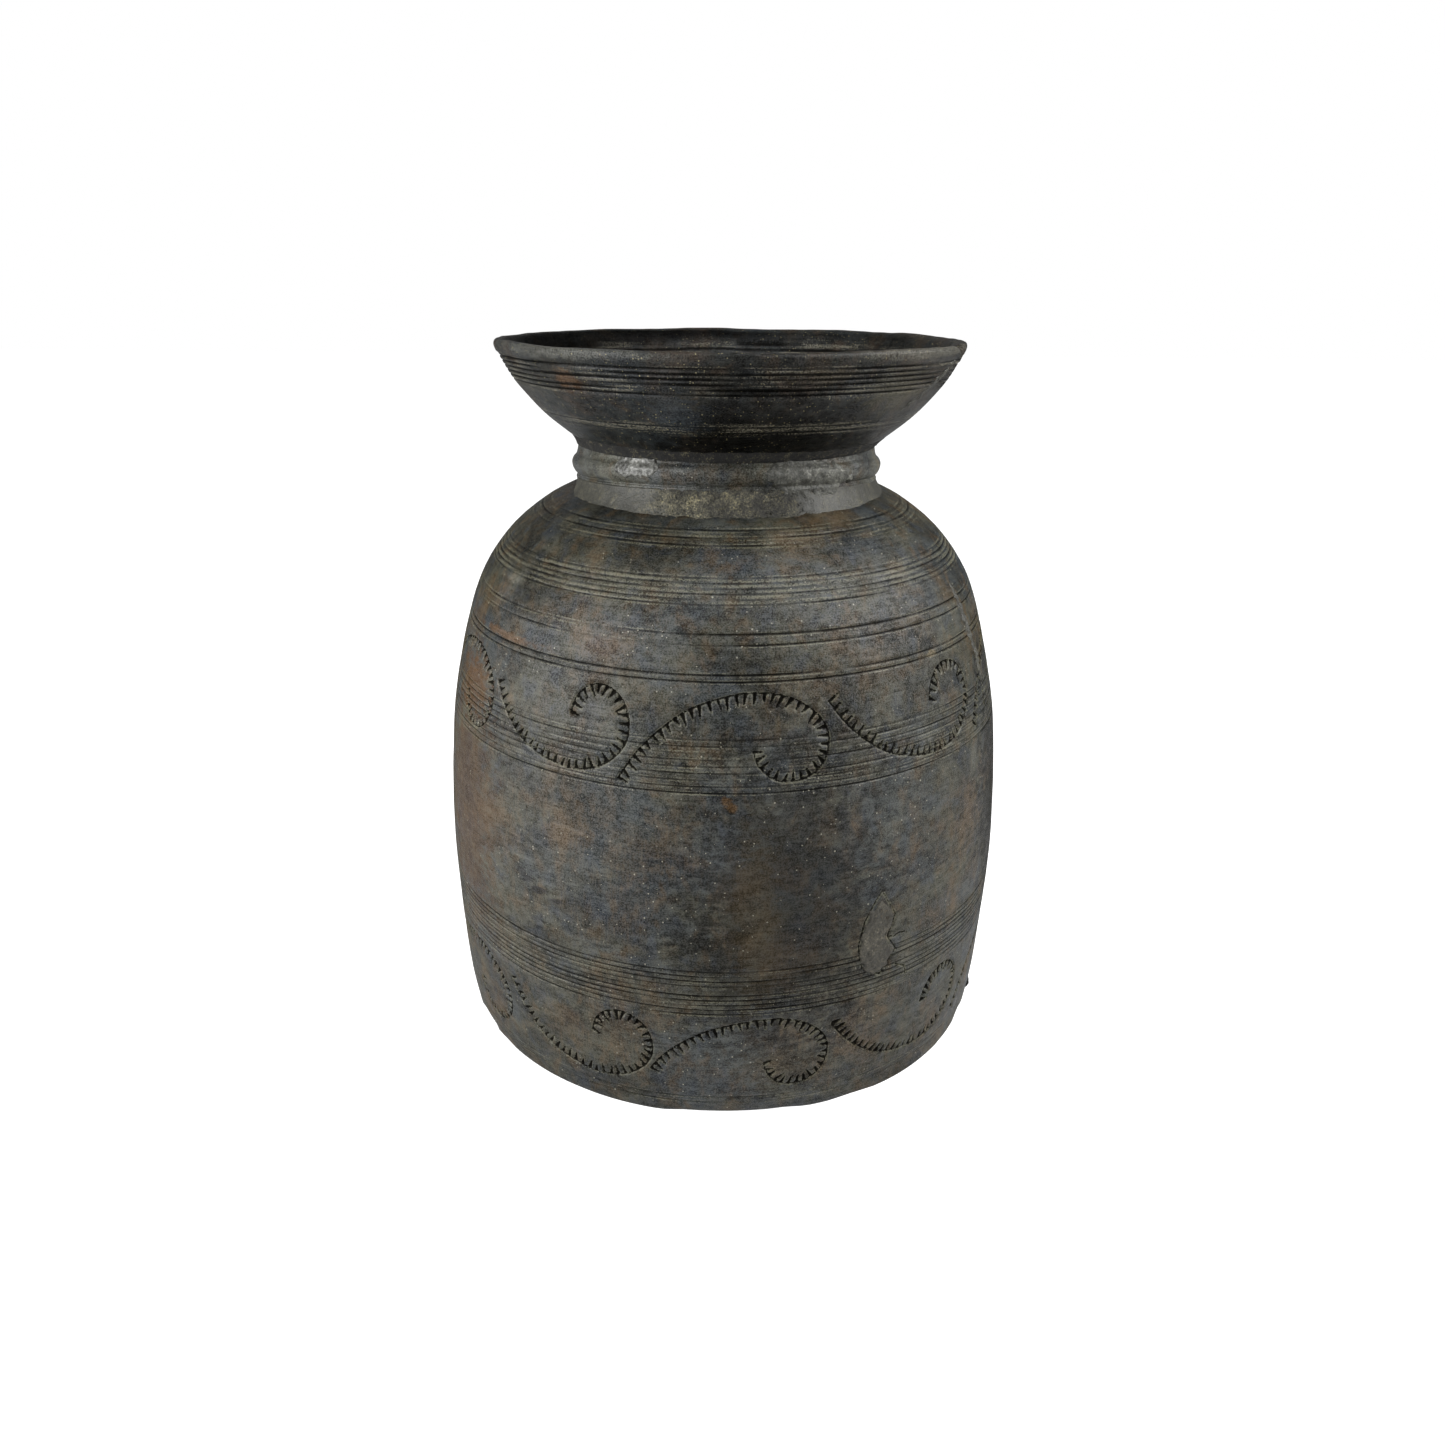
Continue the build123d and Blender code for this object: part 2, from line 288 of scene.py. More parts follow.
    height = sums("ADD", sums("MULTIPLY", streaks, 0.1), sums("MULTIPLY", hairlines, 0.05))
    height = sums("ADD", height, sums("MULTIPLY", fibres, 0.05))
    height = sums("ADD", height, sums("MULTIPLY", grit, 0.27))
    height = sums("ADD", height, sums("MULTIPLY", dabs, 0.28))
    height = sums("ADD", height, sums("MULTIPLY", mottle, 0.6))
    bump = addNode(tree, "ShaderNodeBump", None,
                   {"Strength": 1.0, "Distance": look["bump"] * mm, "Height": height}).outputs[0]
    rough = sums("ADD", remap(mottle, 0.3, 0.7, look["roughLow"], look["roughHigh"]),
                 sums("ADD", sums("MULTIPLY", inside, 0.4), remap(grit, 0.3, 0.7, -0.08, 0.1)))
    # oil sits on the high spots, so pores, lines and strokes are dull
    gleam = sums("MULTIPLY", remap(tone, 0.45, 1.55, 0.1, look["gleam"]),
        remap(sums("ADD", line, inside), 0.0, 1.0, 1.0, 0.1))
    gleam = sums("MULTIPLY", sums("MULTIPLY", gleam, shade), oiled)
    shader = addNode(tree, "ShaderNodeBsdfPrincipled", None,
                     {"Base Color": colour, "Roughness": rough, "Normal": bump, "IOR": 1.5,
                      "Specular IOR Level": gleam})
    addNode(tree, "ShaderNodeOutputMaterial", None, {"Surface": shader.outputs[0]})
    return material


def packedFiller(name, look):
    # Putty of glue, dust and ash, pressed in by hand: chalky, pitted and full of grains.
    material = bpy.data.materials.new(name)
    material.use_nodes = True
    tree = material.node_tree
    tree.nodes.clear()
    place = addNode(tree, "ShaderNodeTexCoord").outputs["Object"]

    def cloud(size, detail, shift):
        vector = addNode(tree, "ShaderNodeMapping", None,
                         {"Vector": place, "Scale": (1 / (size * mm),) * 3,
                         "Location": (shift,) * 3}).outputs[0]
        return addNode(tree, "ShaderNodeTexNoise", None,
                       {"Vector": vector, "Scale": 1.0, "Detail": detail,
                       "Roughness": 0.65}).outputs["Fac"]

    def sums(kind, first, second):
        return addNode(tree, "ShaderNodeMath", {"operation": kind}, {0: first, 1: second}).outputs[0]

    def ramp(value, stops):
        node = addNode(tree, "ShaderNodeValToRGB", None, {"Fac": value})
        edges = node.color_ramp.elements
        while len(edges) < len(stops):
            edges.new(0.5)
        for edge, (at, colour) in zip(edges, stops):
            edge.position, edge.color = at, linear(colour)
        return node.outputs[0]

    grains = cloud(look["grain"], 3, 1.3)
    lumps = cloud(look["grain"] * 6, 5, 6.1)
    mixed = sums("ADD", sums("MULTIPLY", grains, 0.55), sums("MULTIPLY", lumps, 0.45))
    colour = ramp(mixed, [(0.34, look["dark"]), (0.47, look["mid"]), (0.56, look["light"]),
        (0.68, look["fleck"])])
    broad = addNode(tree, "ShaderNodeMapRange", None,
                    {"Value": cloud(26, 3, 3.7), "From Min": 0.36, "From Max": 0.62,
                    "To Min": look["patchy"],
                     "To Max": 1.1}).outputs[0]
    shade = addNode(tree, "ShaderNodeCombineColor", None, {0: broad, 1: broad, 2: broad}).outputs[0]
    colour = addNode(tree, "ShaderNodeMix", {"data_type": "RGBA", "blend_type": "MULTIPLY"},
                     {0: 1.0, 6: colour, 7: shade}).outputs[2]
    height = sums("ADD", sums("MULTIPLY", grains, 0.4), sums("MULTIPLY", lumps, 0.8))
    roughness = look["rough"]
    if "rawAt" in look:
        # only round one place is it raw and full of flecks; elsewhere hands have rubbed it smooth
        angle, radius, up, reach = look["rawAt"]
        middle = around(angle, radius * mm, up * mm)
        away = addNode(tree, "ShaderNodeVectorMath", {"operation": "DISTANCE"},
            {0: place, 1: middle}).outputs["Value"]
        away = sums("ADD", away, sums("MULTIPLY", cloud(9, 3, 2.9), 24 * mm))
        smooth = addNode(tree, "ShaderNodeMapRange", {"interpolation_type": "SMOOTHSTEP"},
                         {"Value": away, "From Min": reach * mm,
                         "From Max": (reach + 16) * mm}).outputs[0]
        colour = addNode(tree, "ShaderNodeMix", {"data_type": "RGBA"},
                         {0: sums("MULTIPLY", smooth, 0.75), 6: colour,
                         7: linear(look["rubbed"])}).outputs[2]
        height = sums("MULTIPLY", height, addNode(tree, "ShaderNodeMapRange", None,
                                                  {"Value": smooth, "To Min": 1.0,
                                                  "To Max": 0.3}).outputs[0])
        roughness = addNode(tree, "ShaderNodeMapRange", None,
                            {"Value": smooth, "To Min": look["rough"], "To Max": 0.5}).outputs[0]
    bump = addNode(tree, "ShaderNodeBump", None,
                   {"Strength": 1.0, "Distance": look["bump"] * mm, "Height": height}).outputs[0]
    shader = addNode(tree, "ShaderNodeBsdfPrincipled", None,
                     {"Base Color": colour, "Roughness": roughness, "Normal": bump})
    addNode(tree, "ShaderNodeOutputMaterial", None, {"Surface": shader.outputs[0]})
    return material


woodLook = {
    "dark": "#1d1d16", "mid": "#3c3b2f", "cool": "#333a3f", "brown": "#4c3a20", "pale": "#75735f",
    "speck": "#a8a494", "cutShade": "#0b0a08",
    "coolAmount": 0.5, "blue": "#242c37", "smokeAmount": 0.5, "wornFrom": 0.6, "wornTo": 0.8,
        "wornAmount": 0.65, "speckAmount": 0.75,
    "speckSpacing": 2.3, "speckReach": 0.2, "turnedDark": 0.92, "ridgeAmount": 0.56, "gritAmount": 0.42,
        "hollowShadeTone": 0.13,
    "streakLength": 30, "streakHeight": 1.5,  # millimetres
    "bump": 1.0, "roughLow": 0.31, "roughHigh": 0.48, "gleam": 0.74,
    "dry": [(89, 150, 98, 200, 0.95), (-90, 150, 90, 200, 0.9), (10, 110, 60, 50, 0.3)],
    # angle, height, width, tallness, amount
}
collarLook = {
    **woodLook, "dark": "#2b2b25", "mid": "#55554b", "cool": "#4b4f50", "wornAmount": 0.35,
        "speckSpacing": 1.9,
    "bump": 1.0, "gritAmount": 0.5, "dry": []}
bowlLook = {
    **woodLook, "dark": "#0f100d", "mid": "#1b1c17", "cool": "#262b2e", "brown": "#36291b",
        "pale": "#7b7768",
    "cutShade": "#050504", "blue": "#14181d", "gleam": 0.42, "ridgeAmount": 0.72,
    "dry": [(0, 338, 70, 14, 0.7)], "speckSpacing": 1.25, "speckReach": 0.3, "speckAmount": 0.85,
    "speck": "#8f8768", "roughLow": 0.3,
    "roughHigh": 0.48}
jointMastic = packedFiller("crumblyJointMastic", {
    "dark": "#0c0b07", "mid": "#403e34", "light": "#686453", "fleck": "#beb386", "grain": 0.9,
        "bump": 2.2,
    "rough": 0.7, "patchy": 0.3, "rawAt": (2, 86, 303, 40), "rubbed": "#35352f"})
greyFiller = packedFiller("rubbedGreyFiller", {
    "dark": "#171713", "mid": "#45453f", "light": "#5e5e56", "fleck": "#96958b", "grain": 1.0,
        "bump": 1.3,
    "rough": 0.45, "patchy": 0.6})
silverPaint = packedFiller("flakedSilverSmear", {
    "dark": "#1c1c1a", "mid": "#5c5c57", "light": "#7f7f7a", "fleck": "#c2c2bc", "grain": 1.7,
        "bump": 1.3,
    "rough": 0.3, "patchy": 0.7})
pitch = packedFiller("setBlackPitch", {
    "dark": "#060605", "mid": "#0b0b09", "light": "#1d1c17", "fleck": "#8a8264", "grain": 0.7,
        "bump": 1.2,
    "rough": 0.78, "patchy": 0.6})
leafPatch = packedFiller("leafPatchWoodPaste", {
    "dark": "#17150f", "mid": "#37342b", "light": "#484439", "fleck": "#807a68", "grain": 1.1,
        "bump": 1.0,
    "rough": 0.5, "patchy": 0.62})
print("fillers mixed")


# The carved scrolls, first laid out as lines on the belly.

belly = {
    "side": [(155.8, 0), (158.9, 24), (161.2, 70), (161.9, 102), (160.7, 132), (158.5, 161), (154.9, 190),
             (145.7, 229), (135.3, 258), (119.4, 280), (100.8, 295), (84.5, 303.5)],
             # radius, height in mm
    "cavity": [(72, 303.4), (62, 300), (62, 276), (84, 272), (106, 262), (131, 225), (144, 160),
        (147.5, 102),
               (141, 40), (118, 16), (60, 16)],
    # stains, burns and scuffs, and three broad spots of painted shade: angle, height, width, tallness, tint,
    # amount
    "marks": [(-60, 145, 38, 80, "#4b3319", 0.58), (-61, 211, 24, 17, "#5b3d18", 0.6),
        (-18, 178, 20, 50, "#3b4245", 0.35),
              # painted shade: the first mark below darkens a broad band down the middle of the front
              (12, 128, 56, 105, "#100f0b", 0.72), (6, 120, 12, 62, "#3a301b", 0.5),
              # painted shade: darkens the belly towards its left edge
              (-77, 140, 18, 110, "#2c2212", 0.75),
              # painted shade: darkens the belly towards its right edge
              (72, 145, 38, 95, "#0b0a07", 0.95),
              (0.9, 182.3, 3.0, 2.6, "#4a3416", 0.9), (2.2, 179.6, 3.0, 2.4, "#4a3416", 0.9),
              (-39.5, 128, 5, 1.8, "#070504", 1.0), (-38, 124.5, 5, 2.6, "#070504", 1.0),
              (-35, 121, 6, 2.2, "#070504", 1.0), (-31.5, 118, 6, 1.7, "#0d0a06", 1.0),
              (37, 82, 9, 14, "#5c5a4e", 0.45), (31.5, 158, 8, 5, "#5c5c53", 0.35),
              (46, 238, 4, 2.2, "#84765a", 0.6),
              (-19, 281, 1.6, 1.6, "#050505", 1.0), (-55, 268, 9, 2.4, "#77756a", 0.35),
              (57, 176, 5, 9, "#66665c", 0.35),
              (-24, 250, 11, 5, "#5c3a24", 0.15), (-50, 243, 30, 2.2, "#5d4123", 0.6),
              (10, 30, 24, 12, "#40351f", 0.4)],
    "columns": 200,
    "fineColumns": 6,      # the carved cells are this many times finer round the pot
    "fineStep": 0.95,      # and this fine upwards, in mm
    "carveReach": 5.3,     # width of the finer strip beside a scroll, in mm
}
bellySide = smoothLine(belly["side"], 24)


def bellyAt(height):
    return float(np.interp(height, bellySide[:, 1], bellySide[:, 0]))


bellyWood = blackenedWood("bellyBlackenedTurnedWood", woodLook, belly["marks"], bellyAt)
scroll = {
    # one scroll in a unit box, from the end of its tail, over the crest, round to the tip of the curl
    "shape": [(0, 0), (0.08, 0.30), (0.19, 0.58), (0.33, 0.82), (0.52, 0.97), (0.68, 1.0), (0.84, 0.91),
              (0.96, 0.70), (1.0, 0.45), (0.96, 0.17), (0.86, 0.02), (0.74, 0.03), (0.66, 0.18),
              (0.63, 0.36)],
    "upper": {"low": 190.8, "high": 232.4, "front": [(-50, 33, 0.3), (-18.5, 38, 0.0), (20, 37, 0.15)]},
    "lower": {"low": 18.6, "high": 62.4, "front": [(-45, 32.5, 0.15), (-13, 33.5, 0.25), (21, 34, 0.2)],
    "bold": (2,)},
    "perBand": 10,
}


def scrollStarts(band):
    # the three scrolls of the front, then the rest evenly round the back: start, width and lift of the tail
    front = band["front"]
    left = front[-1][0] + front[-1][1] + 1
    rest = scroll["perBand"] - len(front)
    pitch = (360 + front[0][0] - left) / rest
    return front + [(left + pitch * turn, pitch * 0.97, 0.1 + 0.15 * (turn % 2)) for turn in range(rest)]


def scrollLine(start, width, lift, low, high, standing):
    line = []
    for across, up in smoothLine(scroll["shape"], 6):
        if across < 0.52 and up < 0.97:
            up = lift + (1 - lift) * up
        height = low + (high - low) * up if standing else high - (high - low) * up
        line.append((start + width * across, height))
    return line


scrollLines, scrollBoldness = [], []
for bandName in ("upper", "lower"):
    band = scroll[bandName]
    for turn, (start, width, lift) in enumerate(scrollStarts(band)):
        line = scrollLine(start, width, lift, band["low"], band["high"], turn % 2 == 1)
        # the notches are cut to the left of a line, so standing scrolls are drawn backwards
        scrollLines.append(line[::-1] if turn % 2 == 1 else line)
        scrollBoldness.append(1.6 if bandName == "lower" and turn in band["bold"] else 1.0)
crackLines = [
    [(30.4, 77), (26.4, 84), (25.4, 98), (26.4, 111), (28.4, 121), (30.0, 126.5)],
    [(30.6, 77.5), (33.8, 90), (31.6, 99), (33.2, 111), (30.2, 125)],
    [(31.8, 99), (33.2, 97.6), (34.4, 98.8), (35.8, 98)],
    [(34.0, 80), (36.6, 76), (37.0, 71)],
    [(61.6, 264), (63.0, 250), (64.6, 238), (65.2, 226), (66.4, 210), (66.0, 198)],
]


def bellySwell(angle):
    # the wood has moved a little out of round as it dried
    return 1.1 * smoothstep(0.2, 1.0, math.sin(math.radians(angle)))


def lineObject(name, lines, boldness):
    # the lines as edges on the belly; each point knows which way is out and how bold its stroke is
    points, edges, facings, bold = [], [], [], []
    for line, weight in zip(lines, boldness):
        bold += [weight] * len(line)
        edges += [(len(points) + step, len(points) + step + 1) for step in range(len(line) - 1)]
        for angle, height in line:
            slope = (bellyAt(height + 1) - bellyAt(height - 1)) / 2
            points.append(around(angle, (bellyAt(height) + bellySwell(angle)) * mm, height * mm))
            facings.extend((around(angle, 1, 0) - Vector((0, 0, slope))).normalized())
    mesh = bpy.data.meshes.new(name)
    mesh.from_pydata(points, edges, [])
    mesh.attributes.new("facing", "FLOAT_VECTOR", "POINT").data.foreach_set("vector", facings)
    mesh.attributes.new("bold", "FLOAT", "POINT").data.foreach_set("value", bold)
    guide = bpy.data.objects.new(name, mesh)
    bpy.context.scene.collection.objects.link(guide)
    return guide


# The belly and its turned lines.

turnedLines = [(297.7, 1.3, 0.6), (294.9, 1.3, 0.7), (292.2, 1.3, 0.6)]  # height, width and depth in mm
turnedLines += [(280.2 - 2.1 * line, 1.3, 0.55) for line in range(6)]
turnedLines += [(257.8, 1.6, 0.9), (253.2, 1.5, 0.7), (240.3, 1.7, 1.3), (237.3, 1.5, 1.0)]
turnedLines += [(211.3 - 3.1 * line, 1.3, 0.5 if line < 8 else 0.9) for line in range(9)]
turnedLines += [(92.4 - 2.85 * line, 1.6, 0.75) for line in range(10)]
turnedLines += [(12.7, 1.4, 0.4), (9.0, 1.4, 0.35)]


def lineDepth(angle, height):
    # how deep the turned lines are cut at a place, fading in and out round the pot
    depth = 0.0
    for number, (middle, width, deep) in enumerate(turnedLines):
        away = abs(height - middle)
        if away < width / 2:
            fade = 0.62 + 0.75 * drift(angle, middle * mm, 45 * mm, number)
            depth = max(depth, deep * min(1.15, max(0.12, fade)) * (1 - 2 * away / width))
    return depth


# angle, half width in degrees and depth in mm of each flat worn into the bottom edge
footFlats = [(3, 15, 1.9), (-61, 5, 1.6), (150, 12, 1.5), (-120, 10, 1.4)]


def footWear(angle, height):
    # chips and flats worn into the bottom edge
    if height > 9:
        return 0.0
    chip = max(0.0, drift(angle, 0, 26 * mm, 3) - 0.15) * 3
    for middle, half, deep in footFlats:
        away = abs((angle - middle + 180) % 360 - 180)
        chip = max(chip, deep * (1 - smoothstep(half * 0.6, half, away)))
    corners = 2.0 * math.exp(-((angle - 38) / 17) ** 2) + 0.9 * math.exp(-((angle + 36) / 14) ** 2)
    return (chip - corners) * (1 - height / 9) ** 2


def bellyPoint(angle, height):
    radius = bellyAt(height) + bellySwell(angle) - lineDepth(angle, height) - footWear(angle, height)
    radius += 0.45 * drift(angle, height * mm, 60 * mm, 5) + 0.15 * drift(angle, height * mm, 11 * mm, 6)
    if height < 1.6:
        radius -= 1.6 - math.sqrt(max(0, 1.6 ** 2 - (1.6 - height) ** 2))
    return around(angle, radius * mm, height * mm)


def bellyLevels():
    # ring heights: three for each turned line, and a few in between
    levels = {0.0, 0.5, 1.6, 3.5, 303.5}
    for middle, width, _ in turnedLines:
        levels |= {round(middle + width * share, 3) for share in (-0.5, 0, 0.5)}
    for middle, width, _ in turnedLines:
        for beyond in (middle - width / 2 - 0.65, middle + width / 2 + 0.65):
            if min(abs(beyond - level) for level in levels) > 0.5:
                levels.add(round(beyond, 3))
    ordered = sorted(levels)
    for low, high in zip(ordered, ordered[1:]):
        gaps = math.ceil((high - low) / 5.5)
        levels |= {round(low + (high - low) * step / gaps, 3) for step in range(1, gaps)}
    return sorted(levels)


def buildBelly():
    columns, fine = belly["columns"], belly["fineColumns"]
    levels = bellyLevels()
    rows = len(levels) - 1
    cellWidth = 360 / columns
    parts = [max(1, round((high - low) / belly["fineStep"])) for low, high in zip(levels, levels[1:])]

    # cells near a scroll or a crack are split finer
    fineCells = np.zeros((columns, rows), bool)
    middles = np.array([(low + high) / 2 for low, high in zip(levels, levels[1:])])
    halves = np.array([(high - low) / 2 for low, high in zip(levels, levels[1:])])
    angles = (np.arange(columns) + 0.5) * cellWidth
    for side, lines in ((1, scrollLines), (0, crackLines)):
        for line in lines:
            dense = smoothLine(line, 2)
            ahead = np.gradient(dense, axis=0)
            arc = np.radians(1) * 155
            for (angle, height), (stepAcross, stepUp) in zip(dense, ahead):
                across = (angles - angle + 180) % 360 - 180
                east = across * arc
                north = middles - height
                gapEast = np.maximum(0, np.abs(east) - cellWidth * arc / 2)[:, None]
                gapNorth = np.maximum(0, np.abs(north) - halves)[None, :]
                gap = np.hypot(gapEast, gapNorth)
                length = math.hypot(stepAcross * arc, stepUp)
                left = (stepAcross * arc * north[None, :] - stepUp * east[:, None]) / length
                reach = np.where(left > 0, belly["carveReach"], 1.0) if side else 1.6
                fineCells |= gap < reach

    numbers, verts = {}, []

    def corner(column, row, part=0):
        # the number of a vertex; column counts fine columns, part counts fine steps inside a row
        if part == (parts[row] if row < rows else 1):
            row, part = row + 1, 0
        column %= columns * fine
        key = (column, row, part)
        if key not in numbers:
            height = levels[row]
            if part:
                height += (levels[row + 1] - levels[row]) * part / parts[row]
            numbers[key] = len(verts)
            verts.append(bellyPoint(360 * column / (columns * fine), height))
        return numbers[key]

    faces = []
    for column in range(columns):
        start, end = column * fine, (column + 1) * fine
        for row in range(rows):
            if fineCells[column, row]:
                for across in range(start, end):
                    for part in range(parts[row]):
                        faces.append((corner(across, row, part), corner(across + 1, row, part),
                                      corner(across + 1, row, part + 1), corner(across, row, part + 1)))
                continue
            below = row > 0 and fineCells[column, row - 1]
            above = row < rows - 1 and fineCells[column, row + 1]
            right = fineCells[(column + 1) % columns, row]
            leftCell = fineCells[column - 1, row]
            loop = [corner(across, row) for across in (range(start, end) if below else (start,))]
            loop += [corner(end, row, part) for part in (range(parts[row]) if right else (0,))]
            loop += [corner(across, row + 1) for across in (range(end, start, -1) if above else (end,))]
            loop += [corner(start, row,
                part) for part in (range(parts[row], 0, -1) if leftCell else (parts[row],))]
            faces.append(tuple(loop))

    # underside, cavity and throat
    def addRing(points, previous):
        ring = []
        for column in range(columns):
            ring.append(len(verts))
            verts.append(points(360 * column / columns))
        for column in range(columns):
            after = (column + 1) % columns
            faces.append((previous[column], previous[after], ring[after], ring[column]))
        return ring

    ring = [corner(column * fine, rows) for column in range(columns)]
    for radius, height in smoothLine(belly["cavity"], 3):
        ring = addRing(lambda angle: around(angle, radius * mm, height * mm), ring)
    faces.append(tuple(ring))
    ring = [corner(column * fine, 0) for column in range(columns)][::-1]
    ring = ring[-1:] + ring[:-1]
    for radius in (150, 120, 60):
        ring = addRing(lambda angle: around(-angle, radius * mm, 0.0), ring)
    faces.append(tuple(ring))
    return verts, faces


def carvingTree():
    # carves scroll lines, a row of notches along them, and plain cracks into a turned surface
    tree = bpy.data.node_groups.new("carveScrolls", "GeometryNodeTree")
    sockets = [("Surface", "NodeSocketGeometry"), ("Scrolls", "NodeSocketObject"),
        ("Cracks", "NodeSocketObject"),
               ("Line width", "NodeSocketFloat"), ("Line depth", "NodeSocketFloat"),
               ("Notch length", "NodeSocketFloat"), ("Notch width", "NodeSocketFloat"),
               ("Notch depth", "NodeSocketFloat"), ("Notch spacing", "NodeSocketFloat"),
               ("Crack depth", "NodeSocketFloat"), ("Finish", "NodeSocketMaterial")]
    for name, kind in sockets:
        tree.interface.new_socket(name, in_out="INPUT", socket_type=kind)
    tree.interface.new_socket("Carved", in_out="OUTPUT", socket_type="NodeSocketGeometry")
    given = addNode(tree, "NodeGroupInput").outputs
    scrolls = addNode(tree, "GeometryNodeObjectInfo", {"transform_space": "RELATIVE"},
                      {"Object": given["Scrolls"]}).outputs["Geometry"]
    cracks = addNode(tree, "GeometryNodeObjectInfo", {"transform_space": "RELATIVE"},
                     {"Object": given["Cracks"]}).outputs["Geometry"]
    here = addNode(tree, "GeometryNodeInputPosition").outputs[0]
    flat = addNode(tree, "ShaderNodeVectorMath", {"operation": "MULTIPLY"},
        {0: here, 1: (1, 1, 0)}).outputs[0]
    outward = addNode(tree, "ShaderNodeVectorMath", {"operation": "NORMALIZE"}, {0: flat}).outputs[0]

    # one notch: a flat triangle standing on the line, its point away from it
    plan = addNode(tree, "GeometryNodeMeshCircle", {"fill_type": "NGON"},
        {"Vertices": 3, "Radius": 1.0}).outputs[0]
    plan = addNode(tree, "GeometryNodeTransform", None,
                   {"Geometry": plan, "Translation": (0, 0.5, 0),
                   "Rotation": Euler((0, 0, math.pi / 2))}).outputs[0]
    strokes = addNode(tree, "GeometryNodeMeshToCurve", None, {"Mesh": scrolls}).outputs[0]
    resampled = addNode(tree, "GeometryNodeResampleCurve", {"mode": "LENGTH"},
                        {"Curve": strokes, "Length": given["Notch spacing"]}).outputs[0]
    facing = addNode(tree, "GeometryNodeInputNamedAttribute", {"data_type": "FLOAT_VECTOR"},
                     {"Name": "facing"}).outputs["Attribute"]
    tangent = addNode(tree, "GeometryNodeInputTangent").outputs[0]
    along = addNode(tree, "FunctionNodeAlignRotationToVector", {"axis": "X"},
        {"Vector": tangent}).outputs[0]
    upright = addNode(tree, "FunctionNodeAlignRotationToVector", {"axis": "Z", "pivot_axis": "X"},
                      {"Rotation": along, "Vector": facing}).outputs[0]
    anyLength = addNode(tree, "FunctionNodeRandomValue", {"data_type": "FLOAT"},
        {2: 0.68, 3: 1.1, "Seed": 4}).outputs[1]
    anyWidth = addNode(tree, "FunctionNodeRandomValue", {"data_type": "FLOAT"},
        {2: 0.75, 3: 1.2, "Seed": 9}).outputs[1]
    bold = addNode(tree, "GeometryNodeInputNamedAttribute", {"data_type": "FLOAT"},
        {"Name": "bold"}).outputs["Attribute"]
    wide = addNode(tree, "ShaderNodeMath", {"operation": "MULTIPLY"},
        {0: given["Notch width"], 1: anyWidth}).outputs[0]
    wide = addNode(tree, "ShaderNodeMath", {"operation": "MULTIPLY"}, {0: wide, 1: bold}).outputs[0]
    wide = addNode(tree, "ShaderNodeMath", {"operation": "DIVIDE"}, {0: wide, 1: math.sqrt(3)}).outputs[0]
    long = addNode(tree, "ShaderNodeMath", {"operation": "MULTIPLY"},
        {0: given["Notch length"], 1: anyLength}).outputs[0]
    long = addNode(tree, "ShaderNodeMath", {"operation": "DIVIDE"}, {0: long, 1: 1.5}).outputs[0]
    size = addNode(tree, "ShaderNodeCombineXYZ", None, {0: wide, 1: long, 2: 1.0}).outputs[0]
    notches = addNode(tree, "GeometryNodeInstanceOnPoints", None,
                      {"Points": resampled, "Instance": plan, "Rotation": upright,
                      "Scale": size}).outputs[0]
    slant = addNode(tree, "FunctionNodeRandomValue", {"data_type": "FLOAT"},
        {2: -0.32, 3: 0.12, "Seed": 2}).outputs[1]
    lean = addNode(tree, "ShaderNodeCombineXYZ", None, {2: slant}).outputs[0]
    notches = addNode(tree, "GeometryNodeRotateInstances", None,
        {"Instances": notches, "Rotation": lean}).outputs[0]
    notches = addNode(tree, "GeometryNodeRealizeInstances", None, {"Geometry": notches}).outputs[0]

    def cutDepth(target, kind, reach, depth):
        # full depth on the target, none at reach from it
        distance = addNode(tree, "GeometryNodeProximity", {"target_element": kind},
            {0: target}).outputs["Distance"]
        share = addNode(tree, "ShaderNodeMapRange", {"interpolation_type": "SMOOTHSTEP"},
                        {"Value": distance, "From Min": 0.0, "From Max": reach, "To Min": 1.0,
                        "To Max": 0.0}).outputs[0]
        return distance, addNode(tree, "ShaderNodeMath", {"operation": "MULTIPLY"},
            {0: share, 1: depth}).outputs[0]

    lineAway, lineCut = cutDepth(scrolls, "EDGES", given["Line width"], given["Line depth"])
    notchAway, notchCut = cutDepth(notches, "FACES", 0.7 * mm, given["Notch depth"])
    crackAway, crackCut = cutDepth(cracks, "EDGES", 1.1 * mm, given["Crack depth"])
    deepest = addNode(tree, "ShaderNodeMath", {"operation": "MAXIMUM"},
        {0: lineCut, 1: notchCut}).outputs[0]
    deepest = addNode(tree, "ShaderNodeMath", {"operation": "MAXIMUM"},
        {0: deepest, 1: crackCut}).outputs[0]
    nearest = addNode(tree, "ShaderNodeMath", {"operation": "MINIMUM"},
        {0: lineAway, 1: notchAway}).outputs[0]
    nearest = addNode(tree, "ShaderNodeMath", {"operation": "MINIMUM"},
        {0: nearest, 1: crackAway}).outputs[0]
    nearest = addNode(tree, "ShaderNodeMath", {"operation": "DIVIDE"}, {0: nearest, 1: mm}).outputs[0]
    inward = addNode(tree, "ShaderNodeMath", {"operation": "MULTIPLY"}, {0: deepest, 1: -1.0}).outputs[0]
    offset = addNode(tree, "ShaderNodeVectorMath", {"operation": "SCALE"},
        {0: outward, "Scale": inward}).outputs[0]
    marked = addNode(tree, "GeometryNodeStoreNamedAttribute", {"data_type": "FLOAT", "domain": "POINT"},
                     {"Geometry": given["Surface"], "Name": "carveDistance", "Value": nearest}).outputs[0]
    carved = addNode(tree, "GeometryNodeSetPosition", None,
        {"Geometry": marked, "Offset": offset}).outputs[0]
    whole = addNode(tree, "GeometryNodeRealizeInstances", None, {"Geometry": carved}).outputs[0]
    painted = addNode(tree, "GeometryNodeSetMaterial", None,
        {"Geometry": whole, "Material": given["Finish"]}).outputs[0]
    addNode(tree, "NodeGroupOutput", None, {"Carved": painted})
    return tree


